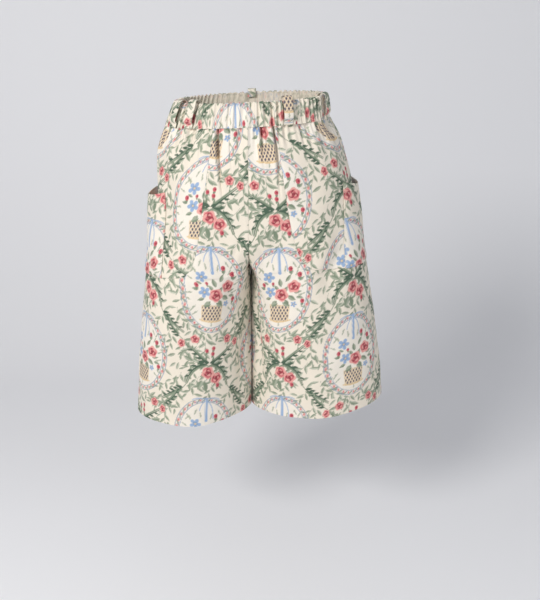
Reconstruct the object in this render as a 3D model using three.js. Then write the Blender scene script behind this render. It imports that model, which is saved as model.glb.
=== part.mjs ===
// Culottes in printed furnishing cotton, worn: an elastic waist casing with belt loops, four leg
// panels, a hip piece let into each front and a patch pocket over each side seam. Millimetres, +Z up, +X to the wearer's left,
// -Y to the front. The origin is the middle of the waist opening, at half the casing's height.
import * as THREE from 'three';

// ---- cloth and seams ------------------------------------------------------------------------
const CLOTH = 2;
const CASING_WALL = 4.2;
const HEM_WALL = 2.9;
const POCKET_WALL = 1.6;
const STRAP_WALL = 1.6;
const SEAM_GAP = 0.3;
const HALF_SEAM = SEAM_GAP / 2;

// ---- heights, from the middle of the casing --------------------------------------------------
const CASING_HEIGHT = 46;
const CASING_TOP = CASING_HEIGHT / 2;
const PANEL_TOP = -CASING_HEIGHT / 2;
const FORK_TOP = -248;       // the centre seams start to turn under
const FORK_POINT = -316;     // the lowest point of the crotch curve
const FORK_SIDE = -336;      // the same row of cloth at the side seam
const HEM = -649;
const HEM_DEPTH = 55;

// ---- girth at each height ---------------------------------------------------------------------
// right, left: from the centre line out to the side seams; front, back: depth before and behind.
const GIRTH = [
  { z: 23, right: 147, left: 151, front: 104, back: 107 },
  { z: -23, right: 167, left: 160, front: 110, back: 116 },
  { z: -65, right: 185, left: 183, front: 115, back: 128 },
  { z: -110, right: 188, left: 199, front: 118, back: 140 },
  { z: -165, right: 191, left: 212, front: 118, back: 147 },
  { z: -240, right: 206, left: 228, front: 116, back: 148 },
  { z: -320, right: 220, left: 244, front: 113, back: 145 },
  { z: -420, right: 234, left: 262, front: 110, back: 140 },
  { z: -535, right: 246, left: 280, front: 107, back: 136 },
  { z: -649, right: 255, left: 292, front: 105, back: 134 },
];

// gap: half of the space between the legs at the inseams; inside, outside: squareness of the leg's
// section towards the inseam and the side seam (2 is an ellipse, more is squarer, less is slimmer).
const LEGS = [
  { z: -316, gap: 0.3, inside: 2.5, outside: 2.1 },
  { z: -350, gap: 2.2, inside: 2.45, outside: 2.1 },
  { z: -385, gap: 3.8, inside: 2.4, outside: 2.05 },
  { z: -430, gap: 1.4, inside: 2.3, outside: 2.05 },
  { z: -470, gap: 0.4, inside: 2.2, outside: 2 },
  { z: -649, gap: 0.4, inside: 1.75, outside: 2 },
];

const HIP_SQUARENESS = 2.25;
// The hips' one oval turns into an oval for each leg. At the centre seam that happens in the crotch
// curve. topReach and footReach, as shares of the way to the side, say from where on it takes the
// whole height from top to foot.
const LEG_START = { top: -100, topReach: 0.5, foot: -410, footReach: 0.14 };
const INSEAM_SET_BACK = 12;       // the inseams lie this far behind the side seams
const SIDE_RISE = 12;             // the flare lifts the hem this much at the side seams
const TILT_AT_WAIST = 0.047;      // rise of the wearer's left side, for each mm across
const TILT_AT_HEM = 0.07;

// The seam that joins a hip piece to its front: distance from the centre line at each height. It
// curves down from the casing and out to the side seam, under the pocket's foot.
const HIP_SEAMS = {
  front_right: [
    { z: -23, from: 66 },
    { z: -65, from: 73 },
    { z: -175, from: 91 },
    { z: -245, from: 101 },
    { z: -290, from: 113 },
    { z: -308, from: 126 },
    { z: -318, from: 155 },
    { z: -328, from: 330 },
  ],
  front_left: [
    { z: -23, from: 56 },
    { z: -68, from: 60 },
    { z: -198, from: 79 },
    { z: -258, from: 92 },
    { z: -290, from: 105 },
    { z: -307, from: 121 },
    { z: -316, from: 150 },
    { z: -326, from: 340 },
  ],
};

// ---- folds ------------------------------------------------------------------------------------
// across: place at the fold's top and foot, as a share of the panel's width there, from 0 at the
// side seam to 1 at the centre seam or inseam. depth: below the cloth's face if negative.
// pinned: it starts at full depth, at the casing's seam; otherwise it rises and dies away between
// top and foot.
const FOLDS = {
  front_right: [
    { top: -23, foot: -150, across: [0.725, 0.81], width: 9, depth: -8, pinned: true },
    { top: -23, foot: -140, across: [0.79, 0.87], width: 10, depth: 4, pinned: true },
    { top: -23, foot: -210, across: [0.52, 0.56], width: 16, depth: -4, pinned: true },
    { top: -60, foot: -350, across: [0.30, 0.35], width: 22, depth: -8, pinned: false },
    { top: -200, foot: -520, across: [0.62, 0.60], width: 34, depth: 4, pinned: false },
    { top: -300, foot: -700, across: [0.86, 0.80], width: 17, depth: -6, pinned: false },
    { top: -380, foot: -740, across: [0.36, 0.30], width: 34, depth: -6, pinned: false },
  ],
  front_left: [
    { top: -23, foot: -165, across: [0.763, 0.756], width: 8, depth: -8, pinned: true },
    { top: -23, foot: -110, across: [0.875, 0.87], width: 7, depth: -5, pinned: true },
    { top: -23, foot: -150, across: [0.82, 0.815], width: 8, depth: 4, pinned: true },
    { top: -23, foot: -230, across: [0.55, 0.57], width: 18, depth: -4, pinned: true },
    { top: -23, foot: -200, across: [0.16, 0.13], width: 13, depth: -6, pinned: true },
    { top: -150, foot: -470, across: [0.35, 0.38], width: 26, depth: -10, pinned: false },
    { top: -300, foot: -700, across: [0.88, 0.84], width: 15, depth: -4, pinned: false },
    { top: -400, foot: -760, across: [0.62, 0.58], width: 38, depth: -5, pinned: false },
  ],
  back_right: [
    { top: -23, foot: -170, across: [0.78, 0.80], width: 9, depth: -7, pinned: true },
    { top: -23, foot: -150, across: [0.50, 0.53], width: 11, depth: -6, pinned: true },
    { top: -23, foot: -190, across: [0.24, 0.22], width: 15, depth: -5, pinned: true },
    { top: -210, foot: -560, across: [0.58, 0.56], width: 30, depth: -8, pinned: false },
    { top: -300, foot: -720, across: [0.84, 0.80], width: 20, depth: -6, pinned: false },
    { top: -330, foot: -740, across: [0.34, 0.28], width: 30, depth: -7, pinned: false },
  ],
  back_left: [
    { top: -23, foot: -150, across: [0.84, 0.85], width: 8, depth: -7, pinned: true },
    { top: -23, foot: -180, across: [0.60, 0.63], width: 12, depth: -6, pinned: true },
    { top: -23, foot: -140, across: [0.38, 0.36], width: 10, depth: -5, pinned: true },
    { top: -220, foot: -540, across: [0.62, 0.58], width: 30, depth: -8, pinned: false },
    { top: -300, foot: -720, across: [0.86, 0.82], width: 20, depth: -6, pinned: false },
    { top: -310, foot: -740, across: [0.36, 0.32], width: 34, depth: -7, pinned: false },
  ],
};
const SEAM_EASE = 0.07;           // folds die away over this share of the panel at each seam
const CASING_GATHERS = 80;
const CASING_GATHER_DEPTH = 1.6;
const PANEL_GATHERS = 28;
const PANEL_GATHER_DEPTH = 2.6;
const PANEL_GATHER_FOOT = -135;

// ---- how finely the cloth is faceted ------------------------------------------------------------
const PANEL_COLUMNS = 28;
const HIP_ROWS = 8;
const FORK_ROWS = 5;
const LEG_ROWS = 10;
const FORK_ROW = HIP_ROWS + FORK_ROWS;
const PANEL_ROWS = FORK_ROW + LEG_ROWS;
const HIP_ROW_EASE = 1.35;        // rows lie closer together under the casing
const LEG_ROW_EASE = 1.3;         // and under the fork
const COLUMN_EASE = 0.65;         // columns lie closer together towards both seams
const CASING_COLUMNS = CASING_GATHERS * 4;

// ---- pockets and belt loops ---------------------------------------------------------------------
// front, back: how far the pocket reaches round from the side seam, at its mouth and at its foot.
// gape: how far the middle of its mouth stands off the leg; sag: how far it hangs there.
const POCKETS = [
  {
    name: 'pocket_right', side: -1, mouth: -152, foot: -326,
    front: [64, 100], back: [76, 92], gape: 17, sag: 14,
  },
  {
    name: 'pocket_left', side: 1, mouth: -150, foot: -328,
    front: [66, 104], back: [72, 90], gape: 9, sag: 16,
  },
];
const POCKET_SEAT = 0.8;          // leaves 0.3 mm or more between the facets of pocket and leg
const POCKET_COLUMNS = 16;
const POCKET_ROWS = 10;

// angle: degrees round the casing from the wearer's left side, by way of the front.
const BELT_LOOPS = [
  { name: 'belt_loop_side_left', angle: 20, peak: 6 },
  { name: 'belt_loop_front_left', angle: 64, peak: 8 },
  { name: 'belt_loop_front_right', angle: 131, peak: 7 },
  { name: 'belt_loop_side_right', angle: 149, peak: 6 },
  { name: 'belt_loop_back', angle: 271, peak: 6 },
];
const STRAP_WIDTH = 17;
const STRAP_SLACK = 8;            // space for a belt between strap and casing
const STRAP_FOOT = 7;             // length sewn down at each end

const CLOTH_COLOUR = 0xe9dfcb;
const clothMaterial = () => new THREE.MeshStandardMaterial({
  color: CLOTH_COLOUR, roughness: 0.82, metalness: 0,
});

// ---- arithmetic ---------------------------------------------------------------------------------
const mix = (a, b, t) => a + (b - a) * t;
const clamp01 = (t) => Math.min(1, Math.max(0, t));
const smooth = (t) => clamp01(t) ** 2 * (3 - 2 * clamp01(t));

// A column of a table at height z, on a smooth curve through its rows (tables run downwards).
function readTable(table, column, z) {
  const last = table.length - 1;
  let i = 0;
  while (i < last - 1 && z < table[i + 1].z) i += 1;
  const slope = (k) => {
    const a = table[Math.max(0, k - 1)];
    const b = table[Math.min(last, k + 1)];
    return (b[column] - a[column]) / (b.z - a.z);
  };
  const span = table[i + 1].z - table[i].z;
  const t = clamp01((z - table[i].z) / span);
  const rise = table[i + 1][column] - table[i][column];
  const bend = slope(i) * span * t * (1 - t) ** 2 - slope(i + 1) * span * t ** 2 * (1 - t);
  return table[i][column] + rise * smooth(t) + bend;
}

// A point of an oval whose half widths are 1, squared off a little.
function ovalPoint(angle) {
  const squared = (v) => Math.sign(v) * Math.abs(v) ** (2 / HIP_SQUARENESS);
  return { across: squared(Math.cos(angle)), deep: squared(Math.sin(angle)) };
}

// How deep such an oval is where it is across from its middle.
const ovalDepth = (across, power) => (1 - Math.min(1, Math.abs(across)) ** power) ** (1 / power);

// The wearer's left hip stands higher, so every piece leans with it.
function standing(p) {
  const tilt = mix(TILT_AT_WAIST, TILT_AT_HEM, clamp01(p.z / HEM));
  return new THREE.Vector3(p.x, p.y, p.z + tilt * p.x);
}

// ---- solids from rings of points ------------------------------------------------------------------
// Each ring is a closed line of points; point k lies opposite point (count - 1 - k) across the wall.
function solidFromRings(rings, endless) {
  const count = rings[0].length;
  const positions = rings.flat().flatMap((p) => [p.x, p.y, p.z]);
  const triangles = [];
  const quad = (a, b, c, d) => triangles.push(a, b, c, a, c, d);
  const joins = endless ? rings.length : rings.length - 1;
  for (let r = 0; r < joins; r += 1) {
    const here = r * count;
    const next = ((r + 1) % rings.length) * count;
    for (let k = 0; k < count; k += 1) {
      const k2 = (k + 1) % count;
      quad(here + k, here + k2, next + k2, next + k);
    }
  }
  if (!endless) {
    const end = (rings.length - 1) * count;
    for (let k = 0; k < count / 2 - 1; k += 1) {
      const over = count - 1 - k;
      quad(k, over, over - 1, k + 1);
      quad(end + k, end + k + 1, end + over - 1, end + over);
    }
  }
  const geometry = new THREE.BufferGeometry();
  geometry.setAttribute('position', new THREE.Float32BufferAttribute(positions, 3));
  geometry.setIndex(volumeOf(positions, triangles) > 0 ? triangles : triangles.reverse());
  geometry.computeVertexNormals();
  return geometry;
}

function volumeOf(positions, triangles) {
  const at = (i) => new THREE.Vector3().fromArray(positions, i * 3);
  let sum = 0;
  for (let i = 0; i < triangles.length; i += 3) {
    sum += at(triangles[i]).dot(at(triangles[i + 1]).cross(at(triangles[i + 2])));
  }
  return sum / 6;
}

function addPiece(group, name, geometry) {
  const mesh = new THREE.Mesh(geometry, clothMaterial());
  mesh.name = name;
  group.add(mesh);
}

// ---- the leg panels' surface ----------------------------------------------------------------------
// Rows run from the casing's seam to the hem. side, edge: the row's height at the side seam and at
// the inner edge; split: 0 on the hips, 1 where the legs are apart.
function rowShape(row) {
  if (row <= HIP_ROWS) {
    const z = mix(PANEL_TOP - HALF_SEAM, FORK_TOP, clamp01(row / HIP_ROWS) ** HIP_ROW_EASE);
    return { side: z, edge: z, split: 0 };
  }
  if (row < FORK_ROW) {
    const t = (row - HIP_ROWS) / FORK_ROWS;
    const turn = t * Math.PI / 2;
    return {
      side: mix(FORK_TOP, FORK_SIDE, t),
      edge: mix(FORK_TOP, FORK_POINT, Math.sin(turn)),
      split: 1 - Math.cos(turn),
    };
  }
  const t = clamp01((row - FORK_ROW) / LEG_ROWS) ** LEG_ROW_EASE;
  return { side: mix(FORK_SIDE, HEM, t), edge: mix(FORK_POINT, HEM, t), split: 1 };
}

// The smooth surface without folds. panel: side is 1 for the wearer's left, face is 1 for the
// front; across runs from 0 at the side seam to 1 at the centre seam or inseam.
function plainPoint(panel, across, row) {
  const shape = rowShape(row);
  const hipSpacing = ovalPoint(across * Math.PI / 2).across;
  const legSpacing = (1 + ovalPoint(across * Math.PI).across) / 2;
  const out = mix(hipSpacing, legSpacing, COLUMN_EASE);
  const fall = clamp01((PANEL_TOP - shape.side) / (PANEL_TOP - HEM));
  const rise = SIDE_RISE * smooth((out - 0.4) / 0.6) * fall;
  const z = mix(shape.side, shape.edge, smooth(across)) + rise;
  const fork = Math.min(z, FORK_POINT);
  const outer = readTable(GIRTH, panel.side > 0 ? 'left' : 'right', z);
  const inner = shape.split * readTable(LEGS, 'gap', fork);
  const depth = readTable(GIRTH, panel.face > 0 ? 'front' : 'back', z);
  const away = smooth(out / LEG_START.footReach);
  const top = mix(FORK_TOP, LEG_START.top, smooth(out / LEG_START.topReach));
  const t = clamp01((top - z) / (top - mix(FORK_POINT, LEG_START.foot, away)));
  const legShare = mix(1 - Math.sqrt(1 - t * t), smooth(t), away);
  const legPower = readTable(LEGS, out > 0.5 ? 'outside' : 'inside', fork);
  const deep = mix(ovalDepth(out, HIP_SQUARENESS), ovalDepth(2 * out - 1, legPower), legShare);
  const setBack = INSEAM_SET_BACK * legShare * (1 - smooth(out / 0.5));
  return new THREE.Vector3(
    panel.side * mix(inner, outer, out),
    setBack - panel.face * depth * deep,
    z,
  );
}

// Outward direction of a surface given as a function of (across, row).
function outward(surface, panel, across, row) {
  const step = 0.004;
  const within = (value, high) => Math.min(high, Math.max(0, value));
  const along = surface(within(across + step, 1), row).sub(surface(within(across - step, 1), row));
  const rowStep = step * PANEL_ROWS;
  const down = surface(across, within(row + rowStep, PANEL_ROWS))
    .sub(surface(across, within(row - rowStep, PANEL_ROWS)));
  const normal = along.cross(down).normalize();
  return panel.side * panel.face > 0 ? normal : normal.negate();
}

// Lengths of a row of plain cloth from the side seam to each of its stations, kept once measured.
const STATIONS = 56;
const measuredRows = new Map();
function rowLengths(panel, row) {
  const key = `${panel.name} ${row}`;
  if (!measuredRows.has(key)) {
    const lengths = [0];
    let before = plainPoint(panel, 0, row);
    for (let i = 1; i <= STATIONS; i += 1) {
      const here = plainPoint(panel, i / STATIONS, row);
      lengths.push(lengths[i - 1] + here.distanceTo(before));
      before = here;
    }
    measuredRows.set(key, lengths);
  }
  return measuredRows.get(key);
}

function lengthAt(panel, across, row) {
  const lengths = rowLengths(panel, row);
  const place = Math.min(STATIONS - 1, Math.floor(across * STATIONS));
  return mix(lengths[place], lengths[place + 1], across * STATIONS - place);
}

function acrossAt(panel, length, row) {
  const lengths = rowLengths(panel, row);
  const place = lengths.findIndex((_, i) => lengths[i + 1] >= length);
  return (place + (length - lengths[place]) / (lengths[place + 1] - lengths[place])) / STATIONS;
}

// How far a fold lifts the cloth, at a share of the row's width from the side seam.
function foldHeight(fold, share, z, width) {
  const t = (fold.top - z) / (fold.top - fold.foot);
  if (t < 0 || t > 1) return 0;
  const strength = fold.pinned ? Math.cos(t * Math.PI / 2) ** 2 : Math.sin(t * Math.PI) ** 2;
  const off = (share - mix(fold.across[0], fold.across[1], t)) * width / fold.width;
  return fold.depth * strength * Math.exp(-off * off);
}

// Share of the way round the waist, from the left side seam by way of the front.
function waistShare(panel, share) {
  const onFront = panel.side > 0 ? share / 4 : 0.5 - share / 4;
  return panel.face > 0 ? onFront : 1 - onFront;
}

// Uneven gathers: count waves round the waist, closer and deeper in places.
function gatherWave(share, count) {
  const turn = share * Math.PI * 2;
  const drift = 1.1 * Math.sin(3 * turn + 0.6) + 0.7 * Math.sin(7 * turn + 2.1);
  const strength = 0.72 + 0.24 * Math.sin(5 * turn + 1.3) + 0.18 * Math.sin(11 * turn + 0.4);
  return strength * Math.cos(count * turn + drift);
}

function foldedPoint(panel, across, row) {
  const base = plainPoint(panel, across, row);
  const width = rowLengths(panel, row)[STATIONS];
  const share = lengthAt(panel, across, row) / width;
  const clear = smooth(share / SEAM_EASE) * smooth((1 - share) / SEAM_EASE);
  let height = 0;
  for (const fold of FOLDS[panel.name]) height += clear * foldHeight(fold, share, base.z, width);
  const fade = smooth((base.z - PANEL_GATHER_FOOT) / (PANEL_TOP - PANEL_GATHER_FOOT));
  height += PANEL_GATHER_DEPTH * fade * gatherWave(waistShare(panel, share), PANEL_GATHERS);
  const direction = outward((a, r) => plainPoint(panel, a, r), panel, across, row);
  return base.addScaledVector(direction, height);
}

// A folded point moved along the cloth's own outward direction; seam edges stay in their plane.
function clothPoint(panel, across, row, lift) {
  const surface = (a, r) => foldedPoint(panel, a, r);
  const point = surface(across, row);
  point.addScaledVector(outward(surface, panel, across, row), lift);
  if (row === 0 || row === PANEL_ROWS) point.z = plainPoint(panel, across, row).z;
  if (across === 0) point.y = -panel.face * HALF_SEAM;
  if (across === 1 && row >= FORK_ROW) point.y = INSEAM_SET_BACK - panel.face * HALF_SEAM;
  if (across === 1 && row <= FORK_ROW) {
    const inset = lift === 0 ? HALF_SEAM : Math.max(HALF_SEAM, panel.side * point.x);
    point.x = panel.side * inset;
  }
  return point;
}

// How far, in mm of cloth, a place on a front lies beyond its hip seam, towards the side.
function beyondHipSeam(panel, across, row) {
  const from = (p) => panel.side * p.x - readTable(HIP_SEAMS[panel.name], 'from', p.z);
  const slope = (a1, r1, a2, r2) => {
    const one = plainPoint(panel, a1, r1);
    const two = plainPoint(panel, a2, r2);
    return (from(two) - from(one)) / two.distanceTo(one);
  };
  const side = slope(Math.max(0, across - 0.01), row, Math.min(1, across + 0.01), row);
  const down = slope(across, Math.max(0, row - 0.2), across, Math.min(PANEL_ROWS, row + 0.2));
  return from(plainPoint(panel, across, row)) / Math.hypot(side, down);
}

// The cells of a panel's grid, each cut back to where inside(across, row) is above 0.
function cutCells(inside) {
  const cells = [];
  for (let row = 0; row < PANEL_ROWS; row += 1) {
    for (let column = 0; column < PANEL_COLUMNS; column += 1) {
      const corners = [[0, 0], [1, 0], [1, 1], [0, 1]].map(([right, down]) => {
        const across = (column + right) / PANEL_COLUMNS;
        return { across, row: row + down, left: inside(across, row + down) };
      });
      const cell = [];
      corners.forEach((here, i) => {
        const next = corners[(i + 1) % 4];
        if (here.left > 0) cell.push(here);
        if (here.left > 0 !== next.left > 0) {
          const t = here.left / (here.left - next.left);
          cell.push({ across: mix(here.across, next.across, t), row: mix(here.row, next.row, t) });
        }
      });
      if (cell.length > 2) cells.push(cell);
    }
  }
  return cells;
}

// Cells of cloth with a wall behind them: face, back, and an edge all round.
function solidFromCells(panel, cells) {
  const positions = [];
  const triangles = [];
  const numbers = new Map();
  const numberOf = ({ across, row }) => {
    const key = `${across.toFixed(7)} ${row.toFixed(6)}`;
    if (!numbers.has(key)) {
      numbers.set(key, numbers.size * 2);
      const { side } = rowShape(row);
      const wall = mix(CLOTH, HEM_WALL, smooth((HEM + HEM_DEPTH + 20 - side) / 20));
      for (const lift of [0, -wall]) positions.push(...standing(clothPoint(panel, across, row, lift)));
    }
    return numbers.get(key);
  };
  const open = new Map();
  for (const cell of cells) {
    const face = cell.map(numberOf);
    for (let k = 1; k < face.length - 1; k += 1) {
      triangles.push(face[0], face[k], face[k + 1]);
      triangles.push(face[0] + 1, face[k + 1] + 1, face[k] + 1);
    }
    face.forEach((a, k) => {
      const b = face[(k + 1) % face.length];
      if (!open.delete(`${b} ${a}`)) open.set(`${a} ${b}`, [a, b]);
    });
  }
  for (const [a, b] of open.values()) triangles.push(b, a, a + 1, b, a + 1, b + 1);
  const geometry = new THREE.BufferGeometry();
  geometry.setAttribute('position', new THREE.Float32BufferAttribute(positions, 3));
  geometry.setIndex(volumeOf(positions, triangles) > 0 ? triangles : triangles.reverse());
  geometry.computeVertexNormals();
  return geometry;
}

// A front is cut off at its hip seam, and the hip piece is what lies beyond; a back is whole.
function makePanel(panel) {
  const seam = (across, row) => beyondHipSeam(panel, across, row);
  const inside = panel.face > 0 ? (across, row) => -seam(across, row) - HALF_SEAM : () => 1;
  return solidFromCells(panel, cutCells(inside));
}

function makeHip(panel) {
  return solidFromCells(panel, cutCells((a, r) => beyondHipSeam(panel, a, r) - HALF_SEAM));
}

const PANELS = [
  { name: 'front_left', side: 1, face: 1 },
  { name: 'front_right', side: -1, face: 1 },
  { name: 'back_left', side: 1, face: -1 },
  { name: 'back_right', side: -1, face: -1 },
];
const panelNamed = (name) => PANELS.find((panel) => panel.name === name);

// ---- the elastic casing ---------------------------------------------------------------------------
// A point of the casing: outward from its smooth oval by out, at height z.
function casingPoint(turn, z, out) {
  const oval = ovalPoint(turn);
  const halfWidth = readTable(GIRTH, oval.across >= 0 ? 'left' : 'right', z);
  const depth = readTable(GIRTH, oval.deep >= 0 ? 'front' : 'back', z);
  const normal = new THREE.Vector2(Math.cos(turn) / halfWidth, -Math.sin(turn) / depth).normalize();
  return new THREE.Vector3(
    oval.across * halfWidth + normal.x * out,
    -oval.deep * depth + normal.y * out,
    z,
  );
}

// Profile of the casing's wall: height as a share from foot to top, distance from its outer face,
// and how much of the gathers shows there.
const CASING_PROFILE = [
  { up: 0, out: 0, gather: 1 },
  { up: 0.3, out: 1.3, gather: 1 },
  { up: 0.74, out: 1.3, gather: 1 },
  { up: 1, out: -0.9, gather: 1.1 },
  { up: 0.97, out: -CASING_WALL, gather: 0.5 },
  { up: 0, out: -CASING_WALL, gather: 0.4 },
];
const CASING_EDGE_LIFT = 1.3;      // the crests of the gathers stand higher at the top edge

function makeCasing() {
  const rings = [];
  for (let column = 0; column < CASING_COLUMNS; column += 1) {
    const share = column / CASING_COLUMNS;
    const wave = gatherWave(share, CASING_GATHERS);
    rings.push(CASING_PROFILE.map(({ up, out, gather }) => {
      const z = mix(PANEL_TOP + HALF_SEAM, CASING_TOP, up) + (up > 0.9 ? wave * CASING_EDGE_LIFT : 0);
      return standing(casingPoint(share * Math.PI * 2, z, out + wave * gather * CASING_GATHER_DEPTH));
    }));
  }
  return solidFromRings(rings, true);
}

// ---- belt loops -----------------------------------------------------------------------------------
// The strap's middle line, seen along the casing: distance out from the casing's oval and height.
// It is sewn down at the casing's foot, stands off for a belt, arches over the top edge and is
// sewn down again inside.
const CREST = CASING_GATHER_DEPTH + 1.3 + SEAM_GAP;
function strapLine(peak) {
  const face = CREST + STRAP_WALL / 2;
  const back = -CASING_WALL - CASING_GATHER_DEPTH * 0.6 - SEAM_GAP - STRAP_WALL / 2;
  const far = face + STRAP_SLACK;
  const foot = PANEL_TOP + 1.5;
  const over = CASING_TOP + CASING_EDGE_LIFT + peak;
  return [
    { out: face, z: foot },
    { out: face, z: foot + STRAP_FOOT },
    { out: mix(face, far, 0.45), z: foot + STRAP_FOOT + 2.5 },
    { out: far, z: foot + STRAP_FOOT + 7 },
    { out: far, z: mix(foot, over, 0.5) },
    { out: far, z: over - 7 },
    { out: mix(far, face, 0.4), z: over - 1.8 },
    { out: mix(far, back, 0.5), z: over },
    { out: mix(back, face, 0.25), z: over - 1.8 },
    { out: back, z: over - 6 },
    { out: back, z: CASING_TOP - 3 },
    { out: back, z: CASING_TOP - 3 - STRAP_FOOT },
  ];
}

function makeStrap({ angle, peak }) {
  const turn = THREE.MathUtils.degToRad(angle);
  const line = strapLine(peak);
  const rings = line.map((here, i) => {
    const before = line[Math.max(0, i - 1)];
    const after = line[Math.min(line.length - 1, i + 1)];
    const way = new THREE.Vector2(after.out - before.out, after.z - before.z).normalize();
    const edge = (aside, thick) => {
      const z = here.z + way.x * thick;
      const level = Math.min(z, CASING_TOP);
      const perRadian = casingPoint(turn, level, 0).distanceTo(casingPoint(turn + 0.01, level, 0)) / 0.01;
      const point = casingPoint(turn + aside / perRadian, level, here.out - way.y * thick);
      return standing(point.setZ(z));
    };
    const half = STRAP_WALL / 2;
    const side = STRAP_WIDTH / 2;
    return [
      ...[-side, 0, side].map((aside) => edge(aside, half)),
      ...[side, 0, -side].map((aside) => edge(aside, -half)),
    ];
  });
  return solidFromRings(rings, false);
}

// ---- patch pockets --------------------------------------------------------------------------------
// A pocket follows the leg round its side seam, just off it at the sewn edges, and stands off
// towards its mouth.
function rowAtSide(z) {
  let low = 0;
  let high = PANEL_ROWS;
  while (high - low > 1e-4) {
    const middle = (low + high) / 2;
    if (rowShape(middle).side > z) low = middle;
    else high = middle;
  }
  return low;
}

function makePocket(pocket) {
  const half = pocket.side > 0 ? 'left' : 'right';
  const front = panelNamed(`front_${half}`);
  const back = panelNamed(`back_${half}`);
  const rings = [];
  for (let i = 0; i <= POCKET_ROWS; i += 1) {
    const down = i / POCKET_ROWS;
    const lines = { outer: [], inner: [] };
    for (let k = 0; k <= POCKET_COLUMNS; k += 1) {
      const round = k / POCKET_COLUMNS;
      const bulge = Math.sin(round * Math.PI) ** 1.2;
      const row = rowAtSide(mix(pocket.mouth - bulge * pocket.sag, pocket.foot, down));
      const reach = mix(-mix(...pocket.back, down), mix(...pocket.front, down), round);
      const panel = reach > 0 ? front : back;
      const across = acrossAt(panel, Math.abs(reach), row);
      const belly = bulge * (1 - smooth(down / 0.85)) * pocket.gape;
      const place = (lift) => standing(clothPoint(panel, across, row, lift));
      lines.inner.push(place(POCKET_SEAT + belly));
      lines.outer.push(place(POCKET_SEAT + belly + POCKET_WALL));
    }
    rings.push([...lines.outer, ...lines.inner.reverse()]);
  }
  return solidFromRings(rings, false);
}

// ---- the garment ----------------------------------------------------------------------------------
const culottes = new THREE.Group();
addPiece(culottes, 'waistband', makeCasing());
for (const panel of PANELS) addPiece(culottes, panel.name, makePanel(panel));
for (const half of ['left', 'right']) {
  addPiece(culottes, `hip_${half}`, makeHip(panelNamed(`front_${half}`)));
}
for (const pocket of POCKETS) addPiece(culottes, pocket.name, makePocket(pocket));
for (const loop of BELT_LOOPS) addPiece(culottes, loop.name, makeStrap(loop));

export default culottes;
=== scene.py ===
# %% [markdown]
# # Culottes in printed furnishing cotton
# Culottes are a divided skirt: wide trousers that hang like one. This pair pulls on. An elastic casing
# gathers the waist, each front has a curved hip piece let into it, and a patch pocket sits over each side
# seam. The cloth is a lightly glazed cotton printed with garlanded ovals, baskets and roses.
#
# Cloth could be simulated, but a garment that is already worn has a shape that can be described. So each
# piece is a grid of points on a formula, with its folds added along the surface, and the print is laid on
# it as on flat cloth.

# %% Frame
from collections import namedtuple

import bpy
import numpy as np
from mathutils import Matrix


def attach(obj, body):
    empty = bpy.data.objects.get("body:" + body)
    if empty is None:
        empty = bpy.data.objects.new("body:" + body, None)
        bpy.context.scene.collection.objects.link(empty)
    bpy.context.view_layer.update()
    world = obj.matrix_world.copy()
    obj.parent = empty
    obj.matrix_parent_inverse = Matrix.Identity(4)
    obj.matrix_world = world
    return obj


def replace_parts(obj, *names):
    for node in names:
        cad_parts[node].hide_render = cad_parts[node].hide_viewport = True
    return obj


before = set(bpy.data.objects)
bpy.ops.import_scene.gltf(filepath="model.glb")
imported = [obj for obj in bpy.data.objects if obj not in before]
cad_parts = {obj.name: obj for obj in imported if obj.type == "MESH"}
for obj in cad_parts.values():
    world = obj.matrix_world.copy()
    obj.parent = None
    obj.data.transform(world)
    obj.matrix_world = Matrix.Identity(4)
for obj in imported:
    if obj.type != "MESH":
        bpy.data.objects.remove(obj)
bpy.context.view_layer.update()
MM = 0.001

# %% [markdown]
# ## The garment's own sizes
# Every length is in millimetres, measured from the middle of the casing, and turned into metres when a
# mesh is made. Tables read downwards and hold only what a tailor would measure: the girth at ten heights,
# the space between the legs, and the hip seams.

# %% Sizes and tables
CASING_HEIGHT = 46
CASING_TOP, PANEL_TOP = CASING_HEIGHT / 2, -CASING_HEIGHT / 2
FORK_TOP, FORK_POINT, FORK_SIDE = -248, -316, -336
HEM, HEM_DEPTH = -649, 55
HALF_SEAM = 0.15
GIRTH = {
    "z": [23, -23, -65, -110, -165, -240, -320, -420, -535, -649],
    "right": [147, 167, 185, 188, 191, 206, 220, 234, 246, 255],
    "left": [151, 160, 183, 199, 212, 228, 244, 262, 280, 292],
    "front": [104, 110, 115, 118, 118, 116, 113, 110, 107, 105],
    "back": [107, 116, 128, 140, 147, 148, 145, 140, 136, 134],
}
LEGS = {
    "z": [-316, -350, -385, -430, -470, -649],
    "gap": [0.3, 3.4, 4.4, 3.0, 1.2, 0.4],
    "inside": [2.5, 2.45, 2.4, 2.3, 2.2, 1.75],
    "outside": [2.1, 2.1, 2.05, 2.05, 2, 2],
}
HIP_SEAMS = {
    "front_right": {
        "z": [-23, -65, -175, -245, -290, -308, -318, -328],
        "from": [66, 73, 91, 101, 113, 126, 155, 330],
    },
    "front_left": {
        "z": [-23, -68, -198, -258, -290, -307, -316, -326],
        "from": [56, 60, 79, 92, 105, 121, 150, 340],
    },
}
HIP_SQUARENESS = 2.25
LEGS_TOUCH, LEGS_LEAN = 0.15, 2.6
LEG_START = {"top": -100, "top_reach": 0.5, "foot": -410, "foot_reach": 0.14}
INSEAM_SET_BACK, SIDE_RISE = 12, 12
TILT_AT_WAIST, TILT_AT_HEM = 0.047, 0.07
COLUMN_EASE, SEAM_EASE = 0.65, 0.07

Panel = namedtuple("Panel", "name side face")
PANELS = [
    Panel("front_left", 1, 1),
    Panel("front_right", -1, 1),
    Panel("back_left", 1, -1),
    Panel("back_right", -1, -1),
]


def mix(a, b, t):
    return a + (b - a) * t


def smooth(t):
    t = np.clip(t, 0, 1)
    return t * t * (3 - 2 * t)


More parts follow.
